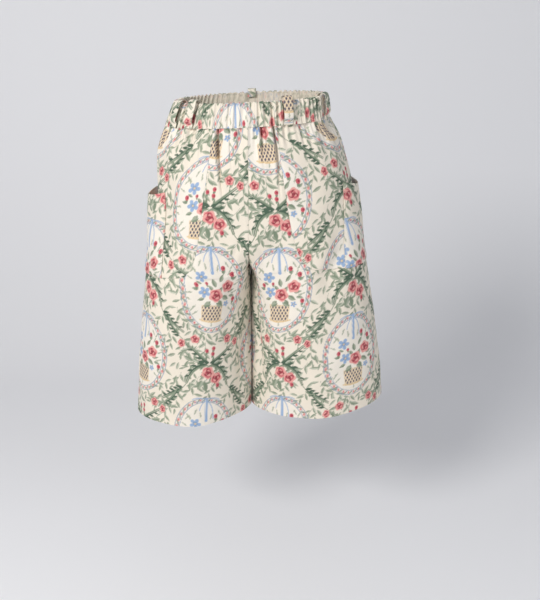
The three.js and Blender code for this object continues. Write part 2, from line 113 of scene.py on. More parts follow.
def read_table(table, column, z):
    """A column of a table at the heights z, on a smooth curve through its rows."""
    heights, values = np.array(table["z"], float), np.array(table[column], float)
    last = len(values) - 1
    low, high = np.maximum(np.arange(last + 1) - 1, 0), np.minimum(np.arange(last + 1) + 1, last)
    slopes = (values[high] - values[low]) / (heights[high] - heights[low])
    i = np.clip(np.searchsorted(-heights, -np.asarray(z), side="left") - 1, 0, last - 1)
    span = heights[i + 1] - heights[i]
    t = np.clip((z - heights[i]) / span, 0, 1)
    bend = slopes[i] * span * t * (1 - t) ** 2 - slopes[i + 1] * span * t**2 * (1 - t)
    return values[i] + (values[i + 1] - values[i]) * smooth(t) + bend


print("girth at the hem:", [read_table(GIRTH, side, HEM) for side in ("right", "left")])

# %% [markdown]
# ## One surface for the four leg panels
# A leg panel is a quarter of the hips' oval at the top and half of a leg's oval below. `across` runs from 0
# at the side seam to 1 at the centre seam or inseam. `fall` is the height at which a row of cloth meets the
# side seam. At the fork the rows curve under, so the crotch closes without a hole.


# %% Plain surface
def oval_across(angle):
    """How far out a squarish oval is at an angle, from -1 to 1."""
    return np.sign(np.cos(angle)) * np.abs(np.cos(angle)) ** (2 / HIP_SQUARENESS)


def oval_depth(across, power):
    """How deep the oval is there, from 0 at its sides to 1 in its middle."""
    return (1 - np.minimum(1, np.abs(across)) ** power) ** (1 / power)


def way_out(across):
    """The place on a row as a share of the half width, from 0 at the middle to 1 at the side."""
    return mix(oval_across(across * np.pi / 2), (1 + oval_across(across * np.pi)) / 2, COLUMN_EASE)


def plain_point(panel, across, fall):
    """The smooth surface without folds, for arrays of across and fall.

    turn goes from 0 above the fork to a right angle below it, while the rows curve under. leg_share goes from
    0, where the oval is the hips', to 1, where it is the leg's own, and starts higher up towards the side.
    """
    turn = np.clip((FORK_TOP - fall) / (FORK_TOP - FORK_SIDE), 0, 1) * np.pi / 2
    down = np.clip((FORK_SIDE - fall) / (FORK_SIDE - HEM), 0, 1)
    edge = np.where(fall > FORK_TOP, fall, mix(FORK_TOP, FORK_POINT, np.sin(turn)))
    edge = np.where(fall < FORK_SIDE, mix(FORK_POINT, HEM, down), edge)
    split = 1 - np.cos(turn)
    out = way_out(across)
    rise = SIDE_RISE * smooth((out - 0.4) / 0.6) * np.clip((PANEL_TOP - fall) / (PANEL_TOP - HEM), 0, 1)
    z = mix(fall, edge, smooth(across)) + rise
    fork = np.minimum(z, FORK_POINT)
    outer = read_table(GIRTH, "left" if panel.side > 0 else "right", z)
    parted = mix(read_table(LEGS, "gap", fork), LEGS_TOUCH, smooth((across - 0.88) / 0.08))
    inner = split * parted
    depth = read_table(GIRTH, "front" if panel.face > 0 else "back", z)
    away = smooth(out / LEG_START["foot_reach"])
    top = mix(FORK_TOP, LEG_START["top"], smooth(out / LEG_START["top_reach"]))
    t = np.clip((top - z) / (top - mix(FORK_POINT, LEG_START["foot"], away)), 0, 1)
    leg_share = mix(1 - np.sqrt(1 - t * t), smooth(t), away)
    power = np.where(out > 0.5, read_table(LEGS, "outside", fork), read_table(LEGS, "inside", fork))
    deep = mix(oval_depth(out, HIP_SQUARENESS), oval_depth(2 * out - 1, power), leg_share)
    set_back = INSEAM_SET_BACK * leg_share * (1 - smooth(out / 0.5))
    return np.stack([panel.side * mix(inner, outer, out), set_back - panel.face * depth * deep, z], axis=-1)


def standing(points):
    """The wearer's left hip stands higher, so every piece leans with it."""
    leaned = points.copy()
    tilt = mix(TILT_AT_WAIST, TILT_AT_HEM, np.clip(points[..., 2] / HEM, 0, 1))
    leaned[..., 2] += tilt * points[..., 0]
    return leaned


def grid_normals(grid, middle):
    """Outward directions of a grid of points, away from a middle line that stands at (x, y)."""
    along, down = np.gradient(grid, axis=1), np.gradient(grid, axis=0)
    normal = np.cross(along, down)
    normal /= np.maximum(np.linalg.norm(normal, axis=2, keepdims=True), 1e-9)
    away = grid[..., :2] - np.array(middle)
    return normal if (normal[..., :2] * away).sum() > 0 else -normal


def row_lengths(grid, from_last=False):
    """Length of cloth along each row, from its first column or its last."""
    steps = np.linalg.norm(np.diff(grid, axis=1), axis=2)
    lengths = np.hstack([np.zeros((len(grid), 1)), np.cumsum(steps, axis=1)])
    return lengths[:, -1:] - lengths if from_last else lengths


for panel in PANELS:
    foot = plain_point(panel, np.array(0.0), np.array(HEM))
    print(f"{panel.name}: foot of the side seam at", standing(foot).round(1))

# %% [markdown]
# ## Folds, gathers and creases
# Each fold is a soft trough or ridge that runs down a panel. Its row gives the heights of its top and foot,
# its place at both as a share of the way from the side seam to the centre, its width and its depth. `pinned`
# folds start at full depth in the casing's seam, as a tuck does; the others rise and die away. They are
# uneven on purpose, because even ones look machined. Finer gathers fan out below the elastic, and small
# creases follow the stress lines at the fork and the pocket corners.

# %% Fold tables
Fold = namedtuple("Fold", "top foot start end width depth pinned")
FOLDS = {
    "front_right": [
        Fold(-23, -165, 0.718, 0.80, 10, -3, True),
        Fold(-23, -175, 0.712, 0.792, 4.5, 5.5, True),
        Fold(-23, -210, 0.52, 0.56, 16, -4, True),
        Fold(-60, -350, 0.30, 0.35, 22, -8, False),
        Fold(-200, -520, 0.62, 0.60, 26, 7, False),
        Fold(-330, -680, 0.52, 0.46, 20, -5, False),
        Fold(-300, -700, 0.86, 0.80, 17, -6, False),
        Fold(-380, -740, 0.36, 0.30, 34, -6, False),
    ],
    "front_left": [
        Fold(-23, -165, 0.752, 0.745, 10, -3, True),
        Fold(-23, -110, 0.875, 0.87, 7, -5, True),
        Fold(-23, -170, 0.800, 0.792, 4.5, 5.5, True),
        Fold(-23, -230, 0.55, 0.57, 18, -4, True),
        Fold(-23, -200, 0.16, 0.13, 13, -6, True),
        Fold(-150, -470, 0.35, 0.38, 26, -10, False),
        Fold(-300, -700, 0.88, 0.84, 15, -5, False),
        Fold(-260, -640, 0.72, 0.68, 22, 6, False),
        Fold(-400, -760, 0.62, 0.58, 38, -5, False),
    ],
    "back_right": [
        Fold(-23, -170, 0.78, 0.80, 9, -7, True),
        Fold(-23, -150, 0.50, 0.53, 11, -6, True),
        Fold(-23, -190, 0.24, 0.22, 15, -5, True),
        Fold(-210, -560, 0.58, 0.56, 30, -8, False),
        Fold(-300, -720, 0.84, 0.80, 20, -6, False),
        Fold(-330, -740, 0.34, 0.28, 30, -7, False),
    ],
    "back_left": [
        Fold(-23, -150, 0.84, 0.85, 8, -7, True),
        Fold(-23, -180, 0.60, 0.63, 12, -6, True),
        Fold(-23, -140, 0.38, 0.36, 10, -5, True),
        Fold(-220, -540, 0.62, 0.58, 30, -8, False),
        Fold(-300, -720, 0.86, 0.82, 20, -6, False),
        Fold(-310, -740, 0.36, 0.32, 34, -7, False),
    ],
}
CREASES = {
    "front_right": [
        Fold(-23, -195, 0.738, 0.818, 2.3, -14, True),
        Fold(-23, -115, 0.845, 0.88, 2.5, -7, True),
        Fold(-23, -120, 0.60, 0.62, 3.4, -4.2, True),
        Fold(-23, -95, 0.93, 0.955, 4, -2.2, True),
        Fold(-23, -80, 0.66, 0.69, 4, -2.0, True),
        Fold(-23, -70, 0.43, 0.45, 4, 1.8, True),
        Fold(-215, -330, 0.985, 0.80, 7, -2.4, False),
        Fold(-235, -390, 0.97, 0.70, 9, 2.0, False),
        Fold(-120, -215, 0.60, 0.72, 8, 1.4, False),
        Fold(-318, -430, 0.955, 0.84, 6, -2.6, True),
        Fold(-330, -560, 0.93, 0.90, 6, -2.6, False),
        Fold(-345, -620, 0.86, 0.82, 8, -2.4, False),
        Fold(-370, -640, 0.955, 0.93, 5, 1.8, False),
        Fold(-300, -430, 0.20, 0.33, 9, -1.6, False),
    ],
    "front_left": [
        Fold(-23, -180, 0.774, 0.766, 2.3, -14, True),
        Fold(-23, -115, 0.885, 0.88, 2.5, -7.5, True),
        Fold(-23, -110, 0.53, 0.54, 3.4, -4.2, True),
        Fold(-23, -85, 0.94, 0.96, 4, -2.2, True),
        Fold(-23, -75, 0.69, 0.70, 4, -2.0, True),
        Fold(-23, -90, 0.46, 0.47, 5, -2.0, True),
        Fold(-23, -70, 0.34, 0.33, 4, 1.8, True),
        Fold(-225, -330, 0.985, 0.82, 7, -2.2, False),
        Fold(-240, -410, 0.97, 0.72, 10, 2.0, False),
        Fold(-130, -240, 0.62, 0.55, 9, 1.4, False),
        Fold(-318, -440, 0.955, 0.86, 6, -2.6, True),
        Fold(-340, -600, 0.94, 0.91, 6, -2.4, False),
        Fold(-350, -600, 0.87, 0.84, 8, -2.2, False),
        Fold(-310, -450, 0.18, 0.32, 10, -1.6, False),
    ],
    "back_right": [
        Fold(-23, -85, 0.92, 0.94, 4, -2.2, True),
        Fold(-23, -75, 0.63, 0.65, 4, -2.0, True),
        Fold(-23, -90, 0.36, 0.35, 5, -2.0, True),
        Fold(-225, -350, 0.98, 0.78, 8, -2.4, False),
        Fold(-245, -420, 0.97, 0.68, 10, 2.2, False),
        Fold(-340, -600, 0.93, 0.90, 7, -2.4, False),
    ],
    "back_left": [
        Fold(-23, -80, 0.93, 0.95, 4, -2.2, True),
        Fold(-23, -95, 0.71, 0.73, 4, -2.0, True),
        Fold(-23, -75, 0.49, 0.50, 5, -2.0, True),
        Fold(-220, -340, 0.98, 0.80, 8, -2.2, False),
        Fold(-240, -430, 0.97, 0.70, 10, 2.0, False),
        Fold(-350, -610, 0.93, 0.90, 7, -2.6, False),
    ],
}
CASING_GATHERS, CASING_GATHER_DEPTH = 80, 2.2
PANEL_GATHERS, PANEL_GATHER_DEPTH, PANEL_GATHER_FOOT = 28, 3.2, -140
FINE_GATHERS, FINE_GATHER_DEPTH, FINE_GATHER_FOOT = 80, 2.1, -84
RIPPLE = 1.1


# %% Fold heights
def fold_height(fold, share, z, width):
    """Height of one fold over the plain surface; a trough's is below 0."""
    t = (fold.top - z) / (fold.top - fold.foot)
    strength = np.cos(t * np.pi / 2) ** 2 if fold.pinned else np.sin(t * np.pi) ** 2
    off = (share - mix(fold.start, fold.end, t)) * width / fold.width
    return np.where((t >= 0) & (t <= 1), fold.depth * strength * np.exp(-off * off), 0)


def waist_share(panel, share):
    """Share of the way round the waist, from the left side seam by way of the front."""
    on_front = share / 4 if panel.side > 0 else 0.5 - share / 4
    return on_front if panel.face > 0 else 1 - on_front


def gather_wave(share, count):
    """Uneven gathers: count waves round the waist, closer and deeper in places."""
    turn = share * np.pi * 2
    drift = 1.1 * np.sin(3 * turn + 0.6) + 0.7 * np.sin(7 * turn + 2.1)
    strength = 0.72 + 0.24 * np.sin(5 * turn + 1.3) + 0.18 * np.sin(11 * turn + 0.4)
    return strength * np.cos(count * turn + drift)


def fold_relief(panel, share, z, width):
    """How far the cloth lies off its plain surface."""
    clear = smooth(share / SEAM_EASE) * smooth((1 - share) / SEAM_EASE)
    height = sum(clear * fold_height(fold, share, z, width) for fold in FOLDS[panel.name])
    near_seam = smooth(share / 0.02) * smooth((1 - share) / 0.02)
    height = height + sum(near_seam * fold_height(c, share, z, width) for c in CREASES[panel.name])
    place = waist_share(panel, share)
    fade = smooth((z - PANEL_GATHER_FOOT) / (PANEL_TOP - PANEL_GATHER_FOOT))
    height = height + PANEL_GATHER_DEPTH * fade * gather_wave(place, PANEL_GATHERS)
    fine = smooth((z - FINE_GATHER_FOOT) / (PANEL_TOP - FINE_GATHER_FOOT))
    height = height + FINE_GATHER_DEPTH * fine * gather_wave(place, FINE_GATHERS)
    ripple = np.sin(z / 23 + 7 * share + panel.side) * np.sin(share * width / 19 + z / 71 + 2 * panel.face)
    return height + RIPPLE * near_seam * ripple


print("folds and creases:", {name: len(FOLDS[name]) + len(CREASES[name]) for name in FOLDS})

# %% [markdown]
# ## The print, drawn as on flat cloth
# The design is a traditional half-drop of garlanded ovals, each with a basket of flowers, and between them
# leafy scrolls that cross under a pair of roses. It is drawn here from formulas only. `Paper` keeps flat
# positions in millimetres and a colour for each, and each dab of colour repeats over the lattice.
#
# An image would be the usual way, but a formula can be laid on any piece, cut anywhere and stays sharp. The
# colours go into a colour attribute, one for each point of the cloth.

# %% Paints and paper
COLUMN_STEP, REPEAT = 160, 340
DROP = REPEAT / 2
EDGE_BLUR = 0.9


def paint(red, green, blue):
    """A paint from 0 to 255, as light."""
    value = np.array([red, green, blue]) / 255
    return np.where(value <= 0.04045, value / 12.92, ((value + 0.055) / 1.055) ** 2.4)


CREAM, PALE_CREAM = paint(234, 224, 208), paint(238, 231, 220)
MIST, SAGE, LEAF = paint(191, 194, 176), paint(164, 171, 151), paint(124, 138, 116)
PINE, BLUSH, ROSE = paint(74, 96, 78), paint(230, 164, 156), paint(198, 92, 102)
WINE, SKY, SLATE = paint(132, 30, 48), paint(150, 174, 206), paint(132, 150, 178)
STRAW, INK, HONEY = paint(224, 194, 148), paint(42, 52, 88), paint(228, 200, 148)
print(f"one repeat: {2 * COLUMN_STEP} by {REPEAT} mm, each column {DROP:.0f} mm lower than the last")


class Paper:
    """Flat cloth: places in mm from a crossing of the scrolls, brought into one cell of the lattice.

    The places are kept in order of x, so that a dab looks only at those in its reach.
    """

    def __init__(self, x, y):
        column = np.round(x / COLUMN_STEP)
        x, y = x - column * COLUMN_STEP, (y - column * DROP + DROP) % REPEAT - DROP
        self.order = np.argsort(x)
        self.x, self.y = x[self.order], y[self.order]
        self.colour = np.tile(CREAM, (len(x), 1))

    def dab(self, x, y, reach, inside, colour, strength=1.0):
        """Colour where inside, a distance in mm, is below 0, within reach of (x, y) and its repeats."""
        shifts = [(0, 0), (0, REPEAT), (0, -REPEAT)]
        shifts += [(a * COLUMN_STEP, b * DROP) for a in (-1, 1) for b in (-1, 1)]
        for right, up in shifts:
            low, high = np.searchsorted(self.x, [x + right - reach, x + right + reach])
            near = low + np.flatnonzero(np.abs(self.y[low:high] - y - up) < reach)
            if near.size:
                off = inside(self.x[near] - x - right, self.y[near] - y - up)
                cover = strength * np.clip(0.5 - off / EDGE_BLUR, 0, 1)
                self.colour[near] += (colour - self.colour[near]) * cover[:, None]

    def finished(self):
        """The colours in the order in which the places came."""
        colour = np.empty_like(self.colour)
        colour[self.order] = self.colour
        return colour


def pointing(degrees):
    """A step of length 1 in a direction on the flat cloth."""
    return np.array([np.cos(np.radians(degrees)), np.sin(np.radians(degrees))])


def turned(dx, dy, degrees):
    c, s = pointing(degrees)
    return dx * c + dy * s, dy * c - dx * s


# %% [markdown]
# ### Leaves, stems and scrolls
# An engraver builds a chintz from few marks: a pointed leaf, a brush stroke that swells and tapers, and the
# acanthus scroll, which is a fat stroke with teeth. Each mark here is a distance, below 0 inside its outline,
# so its edge stays clean at any size. A scroll's teeth are leaves set along it by a loop.

# %% Leaves, stems and scrolls
def leaf(paper, x, y, angle, length, width, colour, shade=None, strength=1.0):
    """A pointed leaf about (x, y); shade is the colour of its darker half."""

    def inside(dx, dy):
        along, aside = turned(dx, dy, angle)
        t = np.clip(along / length + 0.5, 0, 1)
        beyond = np.maximum(np.abs(along) - length / 2, 0)
        return np.abs(aside) - width / 2 * np.sin(np.pi * t**0.85) + beyond

    def darker_half(dx, dy):
        return np.maximum(inside(dx, dy), turned(dx, dy, angle)[1])

    reach = length * 0.6 + 2
    paper.dab(x, y, reach, inside, colour, strength)
    if shade is not None:
        paper.dab(x, y, reach, darker_half, shade, 0.85 * strength)


def bend(start, over, end, count=9):
    """Points of a curve from start to end that leans towards over."""
    t = np.linspace(0, 1, count)[:, None]
    return (1 - t) ** 2 * np.array(start) + 2 * t * (1 - t) * np.array(over) + t**2 * np.array(end)


def stroke(paper, line, width, colour, strength=1.0, taper=0.0):
    """A brush stroke along a line of points. With a taper it swells at its start and thins to its end."""
    middle = line.mean(axis=0)
    reach = np.abs(line - middle).max() + width + 2
    local, last = line - middle, len(line) - 1

    def inside(dx, dy):
        nearest = np.full(len(dx), 99.0)
        for k in range(last):
            step = local[k + 1] - local[k]
            right, up = dx - local[k, 0], dy - local[k, 1]
            t = np.clip((right * step[0] + up * step[1]) / (step @ step), 0, 1)
            share = (k + t) / last
            half = width / 2 * (1 - taper * share) * np.clip(share * 4 + 1 - taper, 0, 1)
            nearest = np.minimum(nearest, np.hypot(right - t * step[0], up - t * step[1]) - half)
        return nearest

    paper.dab(*middle, reach, inside, colour, strength)


Tooth = namedtuple("Tooth", "lean length width aside paint")
INNER_TOOTH, OUTER_TOOTH = Tooth(-34, 0.66, 0.26, -0.24, LEAF), Tooth(36, 1.00, 0.40, 0.30, PINE)
SCROLL_POINTS, SCROLL_TEETH = 6, 5


def scroll(paper, line, side, size):
    """A curling acanthus leaf: a pale back, and on its outer side a dark edge with teeth."""
    places = np.linspace(0, len(line) - 1, SCROLL_POINTS)
    line = np.stack([np.interp(places, np.arange(len(line)), column) for column in line.T], axis=-1)
    ways = np.gradient(line, axis=0)
    ways /= np.linalg.norm(ways, axis=1)[:, None]
    out = side * np.stack([-ways[:, 1], ways[:, 0]], axis=-1)
    stroke(paper, line - out * size * 0.10, size * 0.40, SAGE, taper=0.65)
    for k in range(SCROLL_TEETH):
        heading = np.degrees(np.arctan2(ways[k, 1], ways[k, 0]))
        small = size * (1 - 0.1 * k)
        for tooth in (INNER_TOOTH, OUTER_TOOTH) if k % 3 == 1 else (OUTER_TOOTH,):
            angle = heading + side * tooth.lean
            centre = line[k] + out[k] * small * tooth.aside + pointing(angle) * size * 0.2
            leaf(paper, *centre, angle, small * tooth.length, small * tooth.width, tooth.paint)
    stroke(paper, line + out * size * 0.08, size * 0.28, PINE, taper=0.7)
    stroke(paper, line - out * size * 0.10, size * 0.20, LEAF, taper=0.6)


SPRAY_LEANS = (44, -40, 36, -34, 0)


def spray(paper, x, y, angle, length, tone, turn):
    """A thin hanging stem with leaves on both sides by turns, bending by turn degrees towards its tip."""
    place, step = np.array([x, y], float), length / len(SPRAY_LEANS)
    for k, lean in enumerate(SPRAY_LEANS):
        heading = angle + turn * k / (len(SPRAY_LEANS) - 1)
        tip = place + pointing(heading) * step
        stroke(paper, np.array([place, tip]), 0.9, LEAF, 0.7)
        size = length * (0.42 - 0.03 * k)
        centre = tip + pointing(heading + lean) * size * 0.5
        leaf(paper, *centre, heading + lean, size, size * 0.32, tone, shade=LEAF)
        place = tip


print(f"a scroll has {SCROLL_TEETH} teeth and a spray {len(SPRAY_LEANS)} leaves")

# %% [markdown]
# ### Flowers and the basket
# A printed rose is three flat colours, one over another. The petals' edge waves with the angle, and the
# shadows are a spiral: a wave of the angle minus the distance from the heart. The basket's lattice comes from
# two sets of slanting lines, and its ink diamonds lie in the middle of their cells.

# %% Roses, buds, blossoms and baskets
def rose(paper, x, y, radius, squeeze=1.0, turn=0.0):
    """A full rose: blush petals, rose shadows in a swirl and a wine heart."""

    def polar(dx, dy):
        return np.hypot(dx / squeeze, dy), np.arctan2(dy, dx / squeeze) + turn

    def petals(dx, dy):
        far, angle = polar(dx, dy)
        return far - radius * (0.95 + 0.09 * np.cos(5 * angle + 1))

    def swirl(dx, dy):
        far, angle = polar(dx, dy)
        return np.maximum(np.cos(2 * angle - 9.5 * far / radius) * 1.6 + 0.2, far - radius * 0.82)

    def heart(dx, dy):
        far, angle = polar(dx, dy)
        arcs = np.cos(3 * angle + 7.5 * far / radius) * 1.8 + 0.9
        return np.minimum(far - radius * 0.26, np.maximum(arcs, far - radius * 0.66))

    paper.dab(x, y, radius * 1.3, petals, BLUSH)
    paper.dab(x, y, radius * 1.3, swirl, ROSE, 0.9)
    paper.dab(x, y, radius * 1.3, heart, WINE, 0.85)


def bud(paper, x, y, radius, angle=70):
    """A rosebud in its green cup."""
    leaf(paper, x, y - radius * 1.2, angle, radius * 2.6, radius * 1.3, LEAF)
    paper.dab(x, y, radius * 2, lambda dx, dy: np.hypot(dx, dy * 0.85) - radius, ROSE)
    paper.dab(x, y, radius * 2, lambda dx, dy: np.hypot(dx - radius * 0.3, dy) - radius * 0.45, WINE, 0.8)


def blossom(paper, x, y, radius, turn=0.3):
    """A blue flower of five petals with a honey eye."""

    def shape(dx, dy, shrink=1.0):
        angle = np.arctan2(dy, dx) * 5 / 2 + turn
        return np.hypot(dx, dy) - radius * shrink * (0.38 + 0.62 * np.abs(np.cos(angle)) ** 0.7)

    paper.dab(x, y, radius * 1.3, shape, SKY)
    paper.dab(x, y, radius * 1.3, lambda dx, dy: shape(dx, dy, 0.42), SLATE, 0.8)
    paper.dab(x, y, radius * 1.3, lambda dx, dy: np.hypot(dx, dy) - radius * 0.16, HONEY)


BASKET_TOP, BASKET_FOOT, BASKET_HALF, BASKET_REACH = -32, -69, 23, 75
LATTICE_WIDTH, LATTICE_HEIGHT = 7.2, 12.6


def basket(paper, x, y):
    """A lattice basket: straw strips, ink diamonds between them and a flared foot."""

    def body(dx, dy):
        half = BASKET_HALF - 2.5 * (BASKET_TOP - dy) / (BASKET_TOP - BASKET_FOOT)
        return np.maximum(np.abs(dx) - half, np.maximum(dy - BASKET_TOP, BASKET_FOOT - dy))

    def to_lines(dx, dy):
        across, up = dx / LATTICE_WIDTH, dy / LATTICE_HEIGHT
        return [np.abs(way - np.round(way)) for way in (across + up, across - up)]

    def diamonds(dx, dy):
        return np.maximum((np.maximum(*to_lines(dx, dy)) - 0.31) * LATTICE_WIDTH, body(dx, dy) + 1.6)

    def strips(dx, dy):
        off = np.minimum(*to_lines(dx + LATTICE_WIDTH / 2, dy))
        return np.maximum((off - 0.08) * LATTICE_WIDTH, body(dx, dy))

    paper.dab(x, y, BASKET_REACH, body, STRAW, 0.85)
    paper.dab(x, y, BASKET_REACH, strips, PALE_CREAM, 0.45)
    paper.dab(x, y, BASKET_REACH, diamonds, INK, 0.95)
    stroke(paper, bend((x - 24, y - 65), (x, y - 74), (x + 24, y - 66)), 2.6, STRAW)


print(f"basket: {2 * BASKET_HALF} mm wide and {BASKET_TOP - BASKET_FOOT} mm high")

# %% [markdown]
# ### The garland
# Two ribbon lines run round each oval, with rosebuds and slanting leaves between them. Marks that follow a
# line need a place along it and a distance off it. For an oval, the distance is worked out from how fast its
# equation grows, and the angle gives the place along.

# %% The oval garland and its ribbon
OVAL_HALF_WIDTH, OVAL_HALF_HEIGHT = 63, 88
GARLAND_HALF = 4.8
GARLAND_BUDS = 32


def garland(paper, x, y):
    """Two ribbon lines round an oval, with rosebuds and slanting leaves between them."""

    def off_line(dx, dy):
        share = np.hypot(dx / OVAL_HALF_WIDTH, dy / OVAL_HALF_HEIGHT)
        slope = np.hypot(dx / OVAL_HALF_WIDTH**2, dy / OVAL_HALF_HEIGHT**2) / np.maximum(share, 0.01)
        return (share - 1) / np.maximum(slope, 1e-4)

    def spaced(dx, dy, shift, length, width, slant=0.0):
        off = off_line(dx, dy)
        angle = np.arctan2(dy / OVAL_HALF_HEIGHT, dx / OVAL_HALF_WIDTH)
        step = 2 * np.pi / GARLAND_BUDS * np.hypot(dx, dy)
        along = (angle / (2 * np.pi) * GARLAND_BUDS + shift + slant * off / 12) % 1 - 0.5
        return (np.hypot(along * step / length, off / width) - 1) * min(length, width)

    paper.dab(x, y, 96, off_line, PALE_CREAM, 0.75)
    for side in (-1, 1):
        paper.dab(x, y, 99, lambda dx, dy: np.abs(off_line(dx, dy) - side * GARLAND_HALF) - 0.75, SLATE, 0.95)
    paper.dab(x, y, 99, lambda dx, dy: spaced(dx, dy, 0.0, 2.0, 4.6, 0.9), SAGE, 0.9)
    paper.dab(x, y, 99, lambda dx, dy: spaced(dx, dy, 0.12, 1.5, 4.2, 0.9), LEAF, 0.95)
    paper.dab(x, y, 99, lambda dx, dy: spaced(dx, dy, 0.80, 1.3, 3.6, -0.8), SLATE, 0.6)
    paper.dab(x, y, 99, lambda dx, dy: spaced(dx, dy, 0.48, 3.2, 3.1), BLUSH, 0.95)
    paper.dab(x, y, 99, lambda dx, dy: spaced(dx, dy, 0.43, 1.7, 1.5), ROSE, 0.8)


def ribbon(paper, x, y):
    """A bow on top of the oval: two flat loops, a straight tail and two thin ones."""
    top = y + OVAL_HALF_HEIGHT
    for side in (-1, 1):
        stroke(paper, bend((x, top), (x + side * 16, top + 9), (x + side * 30, top - 1)), 2.0, SKY, 0.9)
        stroke(paper, bend((x, top - 1), (x + side * 14, top - 4), (x + side * 26, top - 8)), 1.6, SLATE, 0.8)
    stroke(paper, bend((x, top + 2), (x + 1, top - 20), (x + 1.5, top - 50)), 6.4, SKY)
    stroke(paper, bend((x - 1.6, top), (x - 1, top - 20), (x - 0.6, top - 46)), 1.3, PALE_CREAM, 0.8)
    stroke(paper, bend((x - 2, top - 2), (x - 12, top - 10), (x - 14, top - 26)), 1.8, SKY, 0.9)
    stroke(paper, bend((x + 3, top - 4), (x + 16, top - 12), (x + 18, top - 46)), 2.2, SKY, 0.9)


print(f"garland: {2 * OVAL_HALF_WIDTH} by {2 * OVAL_HALF_HEIGHT} mm with {GARLAND_BUDS} rosebuds")

# %% [markdown]
# ### A whole repeat
# Small tables place the marks: an oval with its bouquet, and the crossing of two scrolls over two roses.
# The foliage between them is scattered by chance with a fixed seed, and a spray is left out where it would
# crowd another, as a designer fills a ground evenly without a visible grid.

# %% A whole repeat
SPRIG_STRENGTH = 0.85
OVAL_SPRIGS = [
    (-47, -22, 160, 13), (-36, -33, 235, 14), (-46, -40, 215, 12), (40, -12, 20, 13), (28, 62, 300, 12),
    (-34, 50, 230, 13), (-20, 66, 250, 12), (44, 6, 30, 12), (0, -80, 90, 9), (36, -40, 320, 12),
    (-40, 22, 150, 11), (38, 44, 60, 11), (-30, 38, 130, 15), (-44, -6, 185, 13), (50, 16, 20, 12),
    (34, 30, 70, 12), (-10, 44, 100, 12), (12, 40, 80, 12), (-30, -46, 220, 12), (44, -34, 335, 12),
]
OVAL_LEAVES = [
    (2, 17, 100, 19, 9), (19, 27, 55, 20, 7), (27, -17, 330, 20, 10), (-12, -30, 230, 18, 10),
    (14, 2, 60, 16, 8), (-6, 6, 130, 14, 7), (40, -4, 15, 16, 6), (16, -28, 300, 17, 9),
    (-26, -20, 200, 15, 7), (26, 40, 75, 13, 5), (46, 24, 40, 13, 5), (44, -16, 350, 15, 6),
    (-38, 2, 170, 13, 6), (-28, 16, 150, 12, 5),
]
CROSSING_STEMS = [
    [(-58, 56), (-76, 70), (-100, 106)],
    [(60, 56), (78, 70), (102, 106)],
    [(-42, -40), (-48, -64), (-98, -98)],
    [(44, -42), (52, -66), (98, -96)],
]
Arm = namedtuple("Arm", "start over end points side size")
CROSSING_ARMS = [
    Arm((-3, 4), (-14, 20), (-50, 44), 6, 1, 18),
    Arm((5, 4), (18, 16), (56, 44), 6, -1, 18),
    Arm((-2, 2), (-34, 0), (-45, -46), 6, -1, 18),
    Arm((6, 2), (36, -4), (48, -50), 6, 1, 18),
    Arm((56, -64), (74, -74), (104, -98), 5, 1, 17),
    Arm((-54, -62), (-72, -72), (-100, -96), 5, -1, 17),
    Arm((-66, 66), (-84, 76), (-92, 104), 4, 1, 14),
    Arm((68, 66), (88, 78), (98, 108), 4, -1, 14),
]
CROSSING_LEAVES = [
    (-44, 12, 150, 24, 9, SAGE), (-28, 9, 165, 17, 6, MIST), (20, 8, 25, 17, 6, MIST),
    (47, 17, 20, 22, 9, SAGE), (-16, -46, 250, 24, 11, SAGE), (-3, -50, 280, 23, 9, LEAF),
    (-30, -40, 230, 16, 6, MIST), (30, -52, 300, 14, 5, MIST), (14, 62, 80, 15, 5, SAGE),
    (-14, 64, 100, 14, 5, SAGE),
]
CROSSING_ROSES = [
    (-32, 58, 10.4, 0.95), (-60, 46, 10.2, 0.78), (41, 58, 10, 0.95), (62, 47, 9.8, 0.74), (0, -17, 14.4, 1),
    (20, -31, 13.8, 1),
]


def sprig(paper, x, y, angle, size):
    """Three slim leaves on a thin stem."""
    foot, way = np.array([x, y]), pointing(angle)
    stroke(paper, np.array([foot, foot + way * size]), 0.8, SAGE, SPRIG_STRENGTH)
    for turn, share in ((32, 0.55), (-34, 0.4), (4, 1.0)):
        centre = foot + way * size * share
        leaf(paper, *centre, angle + turn, size * 0.62, size * 0.24, SAGE, strength=SPRIG_STRENGTH)


def basket_oval(paper, x, y):
    """One garlanded oval about (x, y)."""
    garland(paper, x, y)
    ribbon(paper, x, y)
    for dx, dy, angle, size in OVAL_SPRIGS:
        sprig(paper, x + dx, y + dy, angle, size)
    for dx, dy, angle, length, width in OVAL_LEAVES:
        leaf(paper, x + dx, y + dy, angle, length, width, LEAF, shade=SAGE)
    basket(paper, x, y)
    leaf(paper, x - 12, y - 32, 200, 17, 9, LEAF, shade=SAGE)
    leaf(paper, x + 15, y - 31, 335, 18, 9, LEAF, shade=SAGE)
    blossom(paper, x - 22, y + 30, 13)
    blossom(paper, x - 19, y - 4, 12.5, turn=1.1)
    blossom(paper, x + 31, y - 31, 7)
    bud(paper, x - 13, y + 15, 3, 110)
    rose(paper, x + 31, y + 8, 13.8, turn=2)
    rose(paper, x + 5, y - 10, 15)
    for dx, dy, radius in ((24, 47, 4.6), (42, 33, 4.8), (49, -24, 4.4), (-34, 11, 4.4)):
        bud(paper, x + dx, y + dy, radius)


